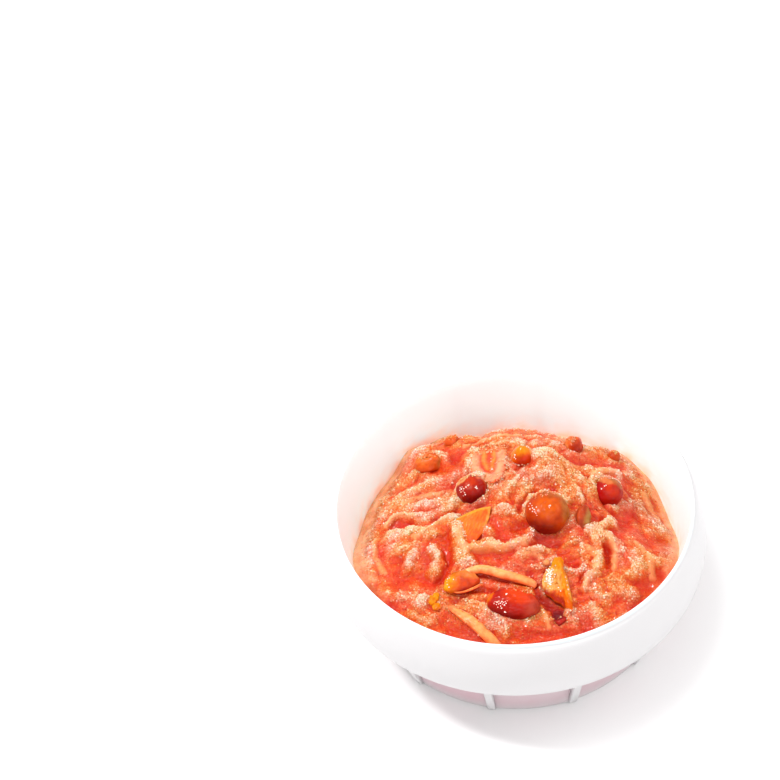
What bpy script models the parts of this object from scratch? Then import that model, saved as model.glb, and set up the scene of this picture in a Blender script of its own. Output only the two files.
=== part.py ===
# Cup of dressed mentaiko with nameko mushrooms.
# A round white plastic cup with a flared skirt and twelve gusset ribs, filled
# with a stirred heap of cod roe that stands above the rim, with mushroom caps,
# cut pieces and stems pressed into it.
# Metres, +Z up, front towards -Y, origin at the middle of the cup's foot.

import math

import bmesh
import bpy
from mathutils import Matrix, Vector, noise

MM = 0.001

# ---------------------------------------------------------------- dimensions, mm
SEGMENTS = 48            # facets round the cup

FOOT_R = 38.7            # outside radius of the foot
FOOT_RECESS_R = 36.0     # radius of the hollow under the floor
FOOT_RECESS_Z = 0.8      # height of that hollow
FLOOR_Z = 1.6            # top of the floor
WALL_IN_R0 = 37.15       # inside radius of the wall, carried down to z = 0
WALL_IN_SLOPE = 0.21014  # how fast the inside radius grows with height
WALL_OUT_SLOPE = 0.188   # how fast the outside radius grows with height
FLOOR_FILLET = 2.2       # inside fillet between floor and wall

LIP_Z = 35.7             # height of the inner edge of the lip
LIP_TOP_Z = 36.0         # highest line of the lip
LIP_OUT_R = 45.3         # outside radius of the lip bead
SHOULDER_R = 46.1        # radius of the skirt just under the bead
SHOULDER_Z = 34.6
SKIRT_MAX_R = 48.65      # widest radius of the skirt
SKIRT_MAX_Z = 24.2
SKIRT_END_R = 48.5
SKIRT_END_Z = 20.1       # lower edge of the skirt
SKIRT_T = 1.1            # thickness of the skirt
SKIRT_ROOT_Z = 33.3      # where the inside of the skirt meets the wall

RIB_COUNT = 12
RIB_FIRST = 19.2         # angle of one rib from the front, degrees
RIB_T = 1.9              # thickness of a rib
RIB_FOOT_R = 39.6        # outer edge of a rib at the foot
RIB_KNEE_R = 41.3
RIB_KNEE_Z = 5.7
RIB_TOP_R = 45.7         # outer edge of a rib level with the skirt's lower edge

FIT = 0.3                # gap between neighbouring pieces
POCKET = 0.36            # how much wider a pocket is than the piece in it

HEAP_SEGMENTS = 60
HEAP_RINGS = 15
PEAK = (5.0, 11.0, 34.4)      # top of the heap's dome
PEAK_BUMP = (9.0, 13.0, 2.6)  # small crest on the dome: x, y, height
BUMP_HALF = (7.5, 6.5)        # its half widths
EDGE_Z_BACK = 15.2            # where the heap meets the wall
EDGE_Z_SIDE = 17.6
EDGE_Z_FRONT = 25.6
BACK_FULLNESS = 0.4           # how much rounder the dome is behind its top

# smears that climb the wall: angle from the front, half width in degrees, height
EDGE_WAVES = (
    (-139.0, 8.0, 4.6),
    (-154.0, 8.0, 4.0),
    (178.0, 9.0, 2.4),
    (158.0, 6.0, 1.6),
    (134.0, 9.0, 2.4),
    (118.0, 9.0, 1.6),
)

# broad folds in the heap: start x, y, end x, y, half width, height
FOLDS = (
    (9.0, 13.0, -3.0, 1.0, 4.0, 1.0),
    (10.0, 12.0, 18.0, 2.0, 3.4, 1.0),
    (18.0, 2.0, 25.0, -4.0, 3.0, 1.0),
    (-33.0, 5.0, -16.0, 4.0, 3.0, 1.2),
    (-31.0, -3.0, -16.0, -3.0, 3.0, 1.1),
    (-35.0, 11.0, -19.0, 15.0, 3.6, 1.2),
    (-13.0, -13.5, 5.0, -12.0, 2.6, 0.9),
    (-15.0, -6.0, -13.0, -15.0, 2.6, 0.8),
    (16.0, -9.0, 22.0, -17.0, 3.0, 0.8),
    (30.0, -6.0, 27.0, -18.0, 3.0, 0.8),
    (22.0, 14.0, 34.0, 14.0, 3.0, 1.0),
    (-24.0, 27.0, -11.0, 32.0, 3.0, 1.2),
)


# ---------------------------------------------------------------- small helpers
def smooth(t):
    t = max(0.0, min(1.0, t))
    return t * t * (3.0 - 2.0 * t)


def wall_in(z):
    return WALL_IN_R0 + WALL_IN_SLOPE * z


def wall_out(z):
    return FOOT_R + WALL_OUT_SLOPE * z


def heap_edge_z(angle):
    """Height of the heap where it meets the wall; angle from the front, degrees."""
    side = smooth((102.0 - abs(angle)) / 34.0)
    back = smooth((abs(angle) - 120.0) / 45.0)
    edge = EDGE_Z_SIDE + (EDGE_Z_FRONT - EDGE_Z_SIDE) * side - (EDGE_Z_SIDE - EDGE_Z_BACK) * back
    for at, half, height in EDGE_WAVES:
        off = abs((angle - at + 180.0) % 360.0 - 180.0)
        edge += height * math.exp(-(off / half) ** 2)
    return edge


def heap_edge_r(angle):
    return wall_in(heap_edge_z(angle)) - FIT


def fold_height(x, y):
    """Height that the broad folds add at a point."""
    total = 0.0
    for x0, y0, x1, y1, half, height in FOLDS:
        ax, ay = x1 - x0, y1 - y0
        t = ((x - x0) * ax + (y - y0) * ay) / (ax * ax + ay * ay)
        t = max(0.0, min(1.0, t))
        d2 = (x - x0 - t * ax) ** 2 + (y - y0 - t * ay) ** 2
        total += height * math.exp(-d2 / (half * half))
    return total


def heap_z(x, y):
    """Height of the heap's top surface."""
    angle = math.degrees(math.atan2(x, -y))
    edge = heap_edge_z(angle)
    rim = heap_edge_r(angle)
    dx, dy = x - PEAK[0], y - PEAK[1]
    d = math.hypot(dx, dy)
    t, power = 0.0, 1.7
    if d > 1e-6:
        ux, uy = dx / d, dy / d
        power = 1.7 + BACK_FULLNESS * smooth(uy + 0.2)
        along = PEAK[0] * ux + PEAK[1] * uy
        reach = -along + math.sqrt(along * along - (PEAK[0] ** 2 + PEAK[1] ** 2) + rim * rim)
        t = min(1.0, d / reach)
    z = edge + (PEAK[2] - edge) * (1.0 - t ** power)
    z += PEAK_BUMP[2] * math.exp(-(((x - PEAK_BUMP[0]) / BUMP_HALF[0]) ** 2
                                   + ((y - PEAK_BUMP[1]) / BUMP_HALF[1]) ** 2))
    calm = smooth((1.0 - math.hypot(x, y) / rim) / 0.14)
    lumps = 0.7 * noise.noise(Vector((x * 0.11, y * 0.11, 3.7))) \
        + 0.5 * noise.noise(Vector((x * 0.25, y * 0.25, 9.1)))
    return z + calm * (fold_height(x, y) + lumps)


for old in list(bpy.data.objects):
    bpy.data.objects.remove(old, do_unlink=True)

scene = bpy.context.scene
scene.unit_settings.system = 'METRIC'
body = bpy.data.collections.new("mentaiko_cup")
cutters = bpy.data.collections.new("cutters")
scene.collection.children.link(body)
scene.collection.children.link(cutters)


def material(name, color, roughness, coat=0.0):
    mat = bpy.data.materials.new(name)
    mat.use_nodes = True
    shader = mat.node_tree.nodes["Principled BSDF"]
    shader.inputs["Base Color"].default_value = (*color, 1.0)
    shader.inputs["Roughness"].default_value = roughness
    shader.inputs["Coat Weight"].default_value = coat
    return mat


def add_object(name, bm, mat, collection=body):
    mesh = bpy.data.meshes.new(name)
    bmesh.ops.recalc_face_normals(bm, faces=bm.faces)
    bm.to_mesh(mesh)
    bm.free()
    obj = bpy.data.objects.new(name, mesh)
    collection.objects.link(obj)
    if mat is not None:
        mesh.materials.append(mat)
    if collection is cutters:
        obj.hide_render = True
        obj.display_type = 'WIRE'
    return obj


def boolean(obj, operand, operation):
    mod = obj.modifiers.new(operand.name, 'BOOLEAN')
    mod.operation = operation
    mod.solver = 'EXACT'
    mod.object = operand
    return mod


def settle(obj):
    """Turn an object's modifiers into its mesh."""
    bpy.context.view_layer.update()
    graph = bpy.context.evaluated_depsgraph_get()
    mesh = bpy.data.meshes.new_from_object(obj.evaluated_get(graph))
    bm = bmesh.new()
    bm.from_mesh(mesh)
    bm.transform(obj.matrix_world)
    bmesh.ops.remove_doubles(bm, verts=bm.verts, dist=1e-6)
    bpy.data.meshes.remove(mesh)
    return bm


# ---------------------------------------------------------------- the cup
def cup_profile():
    """Half section of the cup, from the middle of the floor over the lip to the foot."""
    fillet_z = FLOOR_Z + FLOOR_FILLET
    corner = wall_in(fillet_z)
    pts = [(0.0, FLOOR_Z), (corner - FLOOR_FILLET, FLOOR_Z)]
    for k in (1, 2):
        a = math.radians(30.0 * k)
        pts.append((corner - FLOOR_FILLET * (1.0 - math.sin(a)), fillet_z - FLOOR_FILLET * math.cos(a)))
    pts.append((corner, fillet_z))
    for z in (12.0, 20.0, 28.0):
        pts.append((wall_in(z), z))
    pts.append((wall_in(LIP_Z), LIP_Z))
    pts.append((wall_in(LIP_Z) + 0.16, LIP_TOP_Z))
    pts.append((LIP_OUT_R - 0.16, LIP_TOP_Z))
    pts.append((LIP_OUT_R, LIP_Z - 0.1))
    pts.append((SHOULDER_R, SHOULDER_Z))
    # outside of the skirt: a bow from the shoulder to its widest line
    for k in range(1, 4):
        t = k / 4.0
        r = SHOULDER_R + (SKIRT_MAX_R - SHOULDER_R) * math.sin(t * math.pi / 2.0) ** 0.93
        pts.append((r, SHOULDER_Z + (SKIRT_MAX_Z - SHOULDER_Z) * t))
    pts.append((SKIRT_MAX_R, SKIRT_MAX_Z))
    pts.append((SKIRT_END_R, SKIRT_END_Z))
    # inside of the skirt, back up to the wall
    pts.append((SKIRT_END_R - SKIRT_T, SKIRT_END_Z))
    for k in range(4, 0, -1):
        t = k / 4.0
        r = SHOULDER_R + (SKIRT_MAX_R - SHOULDER_R) * math.sin(t * math.pi / 2.0) ** 0.93
        pts.append((r - SKIRT_T, SHOULDER_Z - 0.4 + (SKIRT_MAX_Z - SHOULDER_Z + 0.4) * t))
    pts.append((wall_out(SKIRT_ROOT_Z) + 0.15, SKIRT_ROOT_Z))
    pts.append((wall_out(SKIRT_ROOT_Z - 1.3), SKIRT_ROOT_Z - 1.3))
    for z in (20.0, 8.0, 0.6):
        pts.append((wall_out(z), z))
    pts.append((FOOT_R - 0.5, 0.0))
    pts.append((FOOT_RECESS_R + 0.3, 0.0))
    pts.append((FOOT_RECESS_R, FOOT_RECESS_Z))
    pts.append((0.0, FOOT_RECESS_Z))
    return pts


def turned(name, points, segments, mat, collection=body):
    """Solid of revolution from a half section."""
    bm = bmesh.new()
    verts = [bm.verts.new((r * MM, 0.0, z * MM)) for r, z in points]
    for a, b in zip(verts, verts[1:]):
        bm.edges.new((a, b))
    obj = add_object(name, bm, mat, collection)
    mod = obj.modifiers.new("turn", 'SCREW')
    mod.axis = 'Z'
    mod.angle = 2.0 * math.pi
    mod.steps = segments
    mod.render_steps = segments
    mod.use_merge_vertices = True
    mod.merge_threshold = 0.00001
    mod.use_smooth_shade = False
    return obj


def rib_set(name):
    """The twelve gussets under the skirt, as separate plates."""
    outline = ((wall_in(0.3) + 0.9, 0.3), (RIB_FOOT_R, 0.3), (RIB_KNEE_R, RIB_KNEE_Z),
               (RIB_TOP_R, SKIRT_END_Z), (SKIRT_MAX_R - SKIRT_T - 0.05, SKIRT_MAX_Z + 2.6),
               (wall_out(31.6) + 1.7, 31.6), (wall_in(31.9) + 0.5, 31.9))
    bm = bmesh.new()
    for k in range(RIB_COUNT):
        angle = math.radians(RIB_FIRST + 360.0 / RIB_COUNT * k)
        turn = Matrix.Rotation(angle - math.pi / 2.0, 4, 'Z')
        face = bm.faces.new([bm.verts.new(turn @ Vector((r * MM, -RIB_T / 2 * MM, z * MM)))
                             for r, z in outline])
        push = turn @ Vector((0.0, RIB_T * MM, 0.0))
        out = bmesh.ops.extrude_face_region(bm, geom=[face])
        moved = [g for g in out["geom"] if isinstance(g, bmesh.types.BMVert)]
        bmesh.ops.translate(bm, verts=moved, vec=push)
    return add_object(name, bm, None, cutters)


cup_mat = material("white_plastic", (0.90, 0.89, 0.90), 0.32)
cup = turned("cup", cup_profile(), SEGMENTS, cup_mat)
boolean(cup, rib_set("ribs"), 'UNION')


# ---------------------------------------------------------------- the mushrooms
cap_red = material("cap_red", (0.28, 0.03, 0.02), 0.25, 0.6)
cap_orange = material("cap_orange", (0.62, 0.16, 0.03), 0.25, 0.6)
cap_amber = material("cap_amber", (0.80, 0.36, 0.04), 0.25, 0.6)
stem_pale = material("stem_pale", (0.85, 0.50, 0.22), 0.35, 0.4)


def cap_mesh(radius, height, hollow=0.45, stretch=1.0, segments=14, rings=8):
    """A button: domed above its rim, shallow below it."""
    bm = bmesh.new()
    bmesh.ops.create_uvsphere(bm, u_segments=segments, v_segments=rings, radius=1.0)
    for v in bm.verts:
        x, y, z = v.co
        v.co = Vector((x * radius * stretch, y * radius, z * height * (1.0 if z > 0 else hollow)))
    return bm


def place(bm, centre, axis, spin=0.0):
    turn = Vector((0, 0, 1)).rotation_difference(Vector(axis).normalized()).to_matrix().to_4x4()
    bm.transform(Matrix.Scale(MM, 4) @ Matrix.Translation(Vector(centre)) @ turn
                 @ Matrix.Rotation(math.radians(spin), 4, 'Z'))
    return bm


def fatten(bm, by):
    """Copy grown by a distance along the vertex normals."""
    grown = bm.copy()
    bmesh.ops.recalc_face_normals(grown, faces=grown.faces)
    grown.normal_update()
    shifts = [v.normal.copy() for v in grown.verts]
    for v, n in zip(grown.verts, shifts):
        v.co += n * by * MM
    return grown


def hull(points):
    bm = bmesh.new()
    for p in points:
        bm.verts.new(Vector(p) * MM)
    out = bmesh.ops.convex_hull(bm, input=bm.verts)
    spare = [v for v in bm.verts if not v.link_faces]
    bmesh.ops.delete(bm, geom=spare, context='VERTS')
    return bm


def tube(name, points, radius, resolution=2, sides=1, squash=1.0):
    """Round strand along a smooth line through the points, with closed ends."""
    data = bpy.data.curves.new(name, 'CURVE')
    data.dimensions = '3D'
    data.resolution_u = resolution
    data.bevel_depth = radius * MM
    data.bevel_resolution = sides
    data.use_fill_caps = True
    spline = data.splines.new('BEZIER')
    spline.bezier_points.add(len(points) - 1)
    for node, p in zip(spline.bezier_points, points):
        node.co = Vector(p) * MM
        node.handle_left_type = node.handle_right_type = 'AUTO'
    obj = bpy.data.objects.new(name, data)
    cutters.objects.link(obj)
    bm = settle(obj)
    bpy.data.objects.remove(obj, do_unlink=True)
    bmesh.ops.recalc_face_normals(bm, faces=bm.faces)
    return bm


pieces = []      # pocket cutters of the mushroom pieces


def add_piece(name, bm, mat, shapes=None):
    """Add a piece, with one pocket cutter for each of its shapes."""
    grown = [fatten(shape, POCKET) for shape in (shapes or [bm])]
    obj = add_object(name, bm, mat)
    for k, pocket in enumerate(grown):
        pieces.append(add_object("%s_pocket_%d" % (name, k), pocket, None, cutters))
    return obj


# whole caps: name, centre, radius, height, stretch, axis, spin, material
CAPS = (
    ("cap_center", (8.4, -4.0, 35.2), 5.3, 4.4, 1.0, (0.05, -0.35, 1.0), 0, cap_orange),
    ("cap_left", (-10.4, 6.0, 33.3), 4.0, 3.6, 1.0, (-0.25, -0.3, 1.0), 0, cap_red),
    ("cap_top", (2.9, 13.9, 37.0), 3.0, 3.1, 1.0, (0.0, -0.2, 1.0), 0, cap_amber),
    ("cap_right", (24.3, 6.6, 30.0), 3.8, 3.3, 1.0, (0.35, -0.25, 1.0), 0, cap_red),
    ("cap_front", (-1.0, -28.4, 30.0), 4.0, 3.3, 1.6, (0.05, -0.3, 1.0), -4, cap_red),
    ("cap_small_right", (17.4, -4.2, 33.0), 2.0, 1.7, 1.5, (0.5, -0.4, 1.0), 80, cap_red),
    ("cap_back", (16.2, 21.6, 31.0), 2.4, 2.9, 1.0, (0.1, -0.3, 1.0), 0, cap_red),
    ("cap_back_right", (26.9, 22.0, 26.0), 1.7, 1.8, 1.0, (0.3, 0.0, 1.0), 0, cap_orange),
    ("cap_back_left", (-21.7, 20.6, 27.8), 2.7, 2.1, 1.45, (-0.2, -0.2, 1.0), 10, cap_orange),
    ("cap_far_back", (-15.6, 28.2, 27.2), 1.9, 2.0, 1.1, (-0.1, 0.3, 1.0), 0, cap_orange),
)
for name, centre, radius, height, stretch, axis, spin, mat in CAPS:
    small = radius < 3.0
    bm = cap_mesh(radius, height, 0.45 if not small else 0.7, stretch,
                  12 if small else 16, 6 if small else 8)
    add_piece(name, place(bm, centre, axis, spin), mat)

# quarter of a cap, cut side up and forward
WEDGE_APEX = (10.0, -17.2, 33.2)
WEDGE_LENGTH = 12.0
WEDGE_WIDTH = 6.6
WEDGE_DEPTH = 3.4
wedge_points = []
for t in (0.0, 0.25, 0.6, 0.85, 1.0):
    half = WEDGE_WIDTH / 2.0 * math.sin(math.pi * (0.06 + 0.62 * t))
    cx = WEDGE_APEX[0] + 0.6 * t
    cy = WEDGE_APEX[1] - (WEDGE_LENGTH - 1.5 * t) * t
    cz = WEDGE_APEX[2] - 3.3 * t + 1.1 * math.sin(math.pi * t)
    wedge_points.append((cx - half, cy + 1.2 * t, cz - 0.4))
    wedge_points.append((cx + half, cy - 1.2 * t, cz - 0.7))
    wedge_points.append((cx - 0.2 * half, cy, cz + 0.5))
    wedge_points.append((cx, cy, cz - WEDGE_DEPTH * (0.25 + 0.7 * math.sin(math.pi * 0.8 * t))))
add_piece("cap_wedge", hull(wedge_points), cap_amber)

# thin fan-shaped slice, bent a little
SLICE_CORNERS = ((-14.9, -2.7, 33.0), (-5.8, -0.3, 34.3), (-6.8, -6.4, 34.4), (-12.9, -9.3, 32.9))
SLICE_T = 1.8
bm = bmesh.new()
bmesh.ops.create_grid(bm, x_segments=4, y_segments=3, size=0.5)
c00, c10, c11, c01 = (Vector(c) for c in SLICE_CORNERS)
for v in bm.verts:
    u, w = v.co.x + 0.5, v.co.y + 0.5
    point = (c00 * (1 - u) * (1 - w) + c10 * u * (1 - w) + c11 * u * w + c01 * (1 - u) * w)
    point.z += 0.7 * math.sin(math.pi * u) * (1.0 - 0.5 * w)
    v.co = point * MM
slab = add_object("slice_blank", bm, None, cutters)
solid = slab.modifiers.new("thick", 'SOLIDIFY')
solid.thickness = SLICE_T * MM
solid.offset = 0.0
bm = settle(slab)
bpy.data.objects.remove(slab, do_unlink=True)
add_piece("cap_slice", bm, cap_orange)

# mushroom lying on its side: cap towards the left, stem towards the right
MUSHROOM_CAP = (-13.7, -21.6, 30.7)
MUSHROOM_STEM = ((-13.6, -19.4, 31.4), (-8.8, -18.6, 32.3), (-2.6, -20.6, 32.3), (2.8, -22.2, 31.6))
STEM_R = 1.05
stem_shape = tube("mushroom_stem_line", MUSHROOM_STEM, STEM_R)
cap_shape = place(cap_mesh(2.7, 2.1, 0.9, 1.5, 14, 8), MUSHROOM_CAP, (-0.1, -0.3, 1.0), 12)
stem = add_object("mushroom_stem", stem_shape.copy(), None, cutters)
lying = add_object("mushroom_blank", cap_shape.copy(), None, cutters)
boolean(lying, stem, 'UNION')
bm = settle(lying)
bpy.data.objects.remove(lying, do_unlink=True)
bpy.data.objects.remove(stem, do_unlink=True)
add_piece("mushroom_left", bm, cap_amber, (cap_shape, stem_shape))

# strip of stem in front, and a bent stem behind the left cap
FRONT_STEM = ((-16.3, -27.6, 29.1), (-11.6, -31.6, 28.9), (-6.4, -36.4, 27.9))
add_piece("stem_front", tube("front_line", FRONT_STEM, 1.2), stem_pale)
BENT_STEM = ((-9.1, 18.5, 33.0), (-8.7, 12.8, 33.7), (-5.8, 9.7, 34.4), (-2.7, 12.7, 34.9), (-2.1, 17.6, 34.6))
add_piece("stem_bent", tube("bent_line", BENT_STEM, 1.0), stem_pale)

# dark corner of a cap under the wedge
under = hull([(10.6 + 3.0 * math.cos(a) * (1.0 if z > 0 else 0.6),
               -31.4 + 1.5 * math.sin(a), 28.4 + z)
              for z in (-1.3, 0.0, 0.9)
              for a in [math.radians(60.0 * k + 15.0) for k in range(6)]])
add_piece("cap_corner_front", under, cap_red)


# ---------------------------------------------------------------- the heap
def heap_solid():
    """Filling of the cup: turned below, with its top raised to the heap."""
    bm = bmesh.new()
    foot = FLOOR_Z + FIT
    corner = wall_in(foot + FLOOR_FILLET) - FIT
    below = [(corner, foot + FLOOR_FILLET), (corner - 0.65, foot + 0.65), (corner - FLOOR_FILLET, foot)]
    edges = []
    verts = [bm.verts.new((k / HEAP_RINGS, 0.0, 1.0)) for k in range(HEAP_RINGS + 1)]
    verts += [bm.verts.new((r, 0.0, -z)) for r, z in below]
    verts.append(bm.verts.new((0.0, 0.0, -foot)))
    for a, b in zip(verts, verts[1:]):
        edges.append(bm.edges.new((a, b)))
    bmesh.ops.spin(bm, geom=verts + edges, cent=(0, 0, 0), axis=(0, 0, 1), angle=2.0 * math.pi,
                   steps=HEAP_SEGMENTS, use_duplicate=False)
    bmesh.ops.remove_doubles(bm, verts=bm.verts, dist=1e-5)
    for v in bm.verts:
        if v.co.z > 0.0:
            share = math.hypot(v.co.x, v.co.y)
            angle = math.atan2(v.co.x, -v.co.y)
            r = share * heap_edge_r(math.degrees(angle))
            x, y = r * math.sin(angle), -r * math.cos(angle)
            v.co = Vector((x, y, heap_z(x, y))) * MM
        else:
            v.co = Vector((v.co.x, v.co.y, -v.co.z)) * MM
    return bm


heap_mat = material("roe_paste", (0.86, 0.27, 0.14), 0.35, 0.4)
heap = add_object("mentaiko", heap_solid(), heap_mat)
for cutter in pieces:
    boolean(heap, cutter, 'DIFFERENCE')
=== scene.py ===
# Cup of dressed mentaiko with nameko mushrooms: the looks.
# Metres, +Z up, front towards -Y. Sizes below are in millimetres unless said.

import math

import bmesh
import bpy
import numpy as np
from mathutils import Matrix, Vector, noise


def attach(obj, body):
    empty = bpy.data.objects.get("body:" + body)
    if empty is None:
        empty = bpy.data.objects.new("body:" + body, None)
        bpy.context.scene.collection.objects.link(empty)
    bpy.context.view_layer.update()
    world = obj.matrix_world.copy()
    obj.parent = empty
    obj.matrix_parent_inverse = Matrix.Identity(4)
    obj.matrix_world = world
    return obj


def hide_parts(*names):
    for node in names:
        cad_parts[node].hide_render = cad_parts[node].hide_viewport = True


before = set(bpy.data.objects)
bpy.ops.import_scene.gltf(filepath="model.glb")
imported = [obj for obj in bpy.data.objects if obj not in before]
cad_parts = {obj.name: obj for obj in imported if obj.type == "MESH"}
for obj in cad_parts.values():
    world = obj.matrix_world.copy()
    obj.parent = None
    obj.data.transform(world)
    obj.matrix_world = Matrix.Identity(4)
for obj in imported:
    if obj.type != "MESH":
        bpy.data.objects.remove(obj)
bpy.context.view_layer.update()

MM = 0.001
scene = bpy.context.scene
rng = np.random.default_rng(20)


# ================================================================ numbers
WALL_IN_R0, WALL_IN_SLOPE = 37.15, 0.21014
FOOT_R, WALL_OUT_SLOPE = 38.7, 0.188
FLOOR_Z, FLOOR_FILLET = 1.6, 2.2
LIP_Z, LIP_TOP_Z, LIP_OUT_R = 35.7, 36.0, 45.3
SHOULDER_R, SHOULDER_Z = 46.1, 34.6
SKIRT_MAX_R, SKIRT_MAX_Z = 48.65, 24.2
SKIRT_END_R, SKIRT_END_Z, SKIRT_T = 48.5, 20.1, 1.1
SKIRT_ROOT_Z = 33.3
RIB_COUNT, RIB_FIRST, RIB_T = 12, 19.2, 1.9
RIB_FOOT_R, RIB_KNEE_R, RIB_KNEE_Z, RIB_TOP_R = 39.6, 41.3, 5.7, 45.7

PEAK = (5.0, 11.0, 34.4)
PEAK_BUMP = (9.0, 13.0, 2.6)
BUMP_HALF = (7.5, 6.5)
EDGE_Z_BACK, EDGE_Z_SIDE, EDGE_Z_FRONT = 15.2, 17.6, 25.6
BACK_FULLNESS = 0.4
EDGE_WAVES = ((-139.0, 8.0, 4.6), (-154.0, 8.0, 4.0), (178.0, 9.0, 2.4), (158.0, 6.0, 1.6), (134.0, 9.0, 2.4),
              (118.0, 9.0, 1.6))


def srgb(r, g, b):
    """Linear colour from 0..255 display values."""
    out = []
    for v in (r, g, b):
        v = v / 255.0
        out.append(v / 12.92 if v <= 0.04045 else ((v + 0.055) / 1.055) ** 2.4)
    return tuple(out)


def smooth(t):
    t = np.clip(t, 0.0, 1.0)
    return t * t * (3.0 - 2.0 * t)


# ================================================================ noise
_perm = rng.permutation(256)
_perm = np.concatenate([_perm, _perm, _perm])
_grad = rng.normal(size=(256, 3))
_grad /= np.linalg.norm(_grad, axis=1)[:, None]


def perlin(x, y, z=0.0):
    """Gradient noise, about -0.7 to 0.7."""
    x, y, z = np.broadcast_arrays(np.asarray(x, float), np.asarray(y, float), np.asarray(z, float))
    xi, yi, zi = np.floor(x), np.floor(y), np.floor(z)
    fx, fy, fz = x - xi, y - yi, z - zi
    xi, yi, zi = xi.astype(int) & 255, yi.astype(int) & 255, zi.astype(int) & 255
    u, v, w = [t * t * t * (t * (t * 6 - 15) + 10) for t in (fx, fy, fz)]
    total = 0.0
    for dx in (0, 1):
        for dy in (0, 1):
            for dz in (0, 1):
                h = _perm[_perm[_perm[xi + dx] + yi + dy] + zi + dz]
                g = _grad[h]
                dot = g[..., 0] * (fx - dx) + g[..., 1] * (fy - dy) + g[..., 2] * (fz - dz)
                total = total + dot * (u if dx else 1 - u) * (v if dy else 1 - v) * (w if dz else 1 - w)
    return total


def fbm(x, y, z=0.0, octaves=3):
    total, amp = 0.0, 1.0
    for k in range(octaves):
        f = 2.0 ** k
        total = total + amp * perlin(x * f, y * f, np.asarray(z) * f + 11.3 * k)
        amp *= 0.5
    return total


# ================================================================ mesh helpers
def new_mesh(name, verts, faces, mat=None, smooth_shade=True):
    mesh = bpy.data.meshes.new(name)
    verts = np.asarray(verts, float) * MM
    faces = [np.asarray(f) for f in (faces if isinstance(faces, (list, tuple)) else [faces])]
    counts = np.concatenate([np.full(len(f), f.shape[1], int) for f in faces])
    loops = np.concatenate([f.reshape(-1) for f in faces])
    mesh.vertices.add(len(verts))
    mesh.vertices.foreach_set("co", verts.reshape(-1))
    mesh.loops.add(len(loops))
    mesh.loops.foreach_set("vertex_index", loops)
    mesh.polygons.add(len(counts))
    mesh.polygons.foreach_set("loop_start", np.concatenate([[0], np.cumsum(counts)[:-1]]))
    mesh.polygons.foreach_set("loop_total", counts)
    mesh.polygons.foreach_set("use_smooth", np.full(len(counts), smooth_shade))
    mesh.update(calc_edges=True)
    mesh.validate()
    obj = bpy.data.objects.new(name, mesh)
    scene.collection.objects.link(obj)
    if mat is not None:
        mesh.materials.append(mat)
    return obj


def set_value(obj, name, values):
    attr = obj.data.attributes.new(name, 'FLOAT', 'POINT')
    attr.data.foreach_set("value", np.asarray(values, np.float32))


def set_color(obj, values, name="tint"):
    attr = obj.data.attributes.new(name, 'FLOAT_COLOR', 'POINT')
    rgba = np.ones((len(values), 4), np.float32)
    rgba[:, :3] = values
    attr.data.foreach_set("color", rgba.reshape(-1))


def grid_faces(rows, cols, wrap=True, offset=0):
    """Quads between rows of points; each row has cols points."""
    i = np.arange(rows - 1)[:, None]
    j = np.arange(cols if wrap else cols - 1)[None, :]
    jn = (j + 1) % cols
    a = i * cols + j
    b = i * cols + jn
    quads = np.stack([a, b, b + cols, a + cols], -1).reshape(-1, 4)
    return quads + offset


def ride(obj, slot, *nodes):
    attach(obj, "root")
    if nodes:
        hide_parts(*nodes)
    return obj


# ================================================================ materials
def shader_base(name):
    mat = bpy.data.materials.new(name)
    mat.use_nodes = True
    tree = mat.node_tree
    return mat, tree, tree.nodes["Principled BSDF"]


def node(tree, kind, **values):
    n = tree.nodes.new(kind)
    for key, value in values.items():
        if key in n.inputs:
            n.inputs[key].default_value = value
        else:
            setattr(n, key, value)
    return n


def ramp_node(tree, stops, interpolation='LINEAR'):
    n = tree.nodes.new("ShaderNodeValToRGB")
    n.color_ramp.interpolation = interpolation
    while len(n.color_ramp.elements) < len(stops):
        n.color_ramp.elements.new(0.5)
    for el, (pos, col) in zip(n.color_ramp.elements, stops):
        el.position = pos
        el.color = (*col, 1.0)
    return n


def math_node(tree, op, a, b=None, clamp=False):
    n = tree.nodes.new("ShaderNodeMath")
    n.operation = op
    n.use_clamp = clamp
    for k, v in enumerate((a, b)):
        if v is None:
            continue
        if isinstance(v, (int, float)):
            n.inputs[k].default_value = v
        else:
            tree.links.new(v, n.inputs[k])
    return n.outputs[0]


def cell_normal(tree, scale, amount, warp=False):
    """A surface normal shaken cell by cell, so that a wet film breaks into small glints."""
    link = tree.links.new
    coord = tree.nodes.new("ShaderNodeTexCoord")
    if warp:
        source = node(tree, "ShaderNodeTexNoise", Scale=scale, Detail=1.5)
    else:
        source = node(tree, "ShaderNodeTexVoronoi", Scale=scale)
    link(coord.outputs["Object"], source.inputs["Vector"])
    shift = tree.nodes.new("ShaderNodeVectorMath")
    shift.operation = 'SUBTRACT'
    link(source.outputs["Color"], shift.inputs[0])
    shift.inputs[1].default_value = (0.5, 0.5, 0.5)
    grow = tree.nodes.new("ShaderNodeVectorMath")
    grow.operation = 'SCALE'
    link(shift.outputs[0], grow.inputs[0])
    grow.inputs["Scale"].default_value = amount
    geo = tree.nodes.new("ShaderNodeNewGeometry")
    total = tree.nodes.new("ShaderNodeVectorMath")
    total.operation = 'ADD'
    link(geo.outputs["Normal"], total.inputs[0])
    link(grow.outputs[0], total.inputs[1])
    unit_ = tree.nodes.new("ShaderNodeVectorMath")
    unit_.operation = 'NORMALIZE'
    link(total.outputs[0], unit_.inputs[0])
    return unit_.outputs[0]


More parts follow.
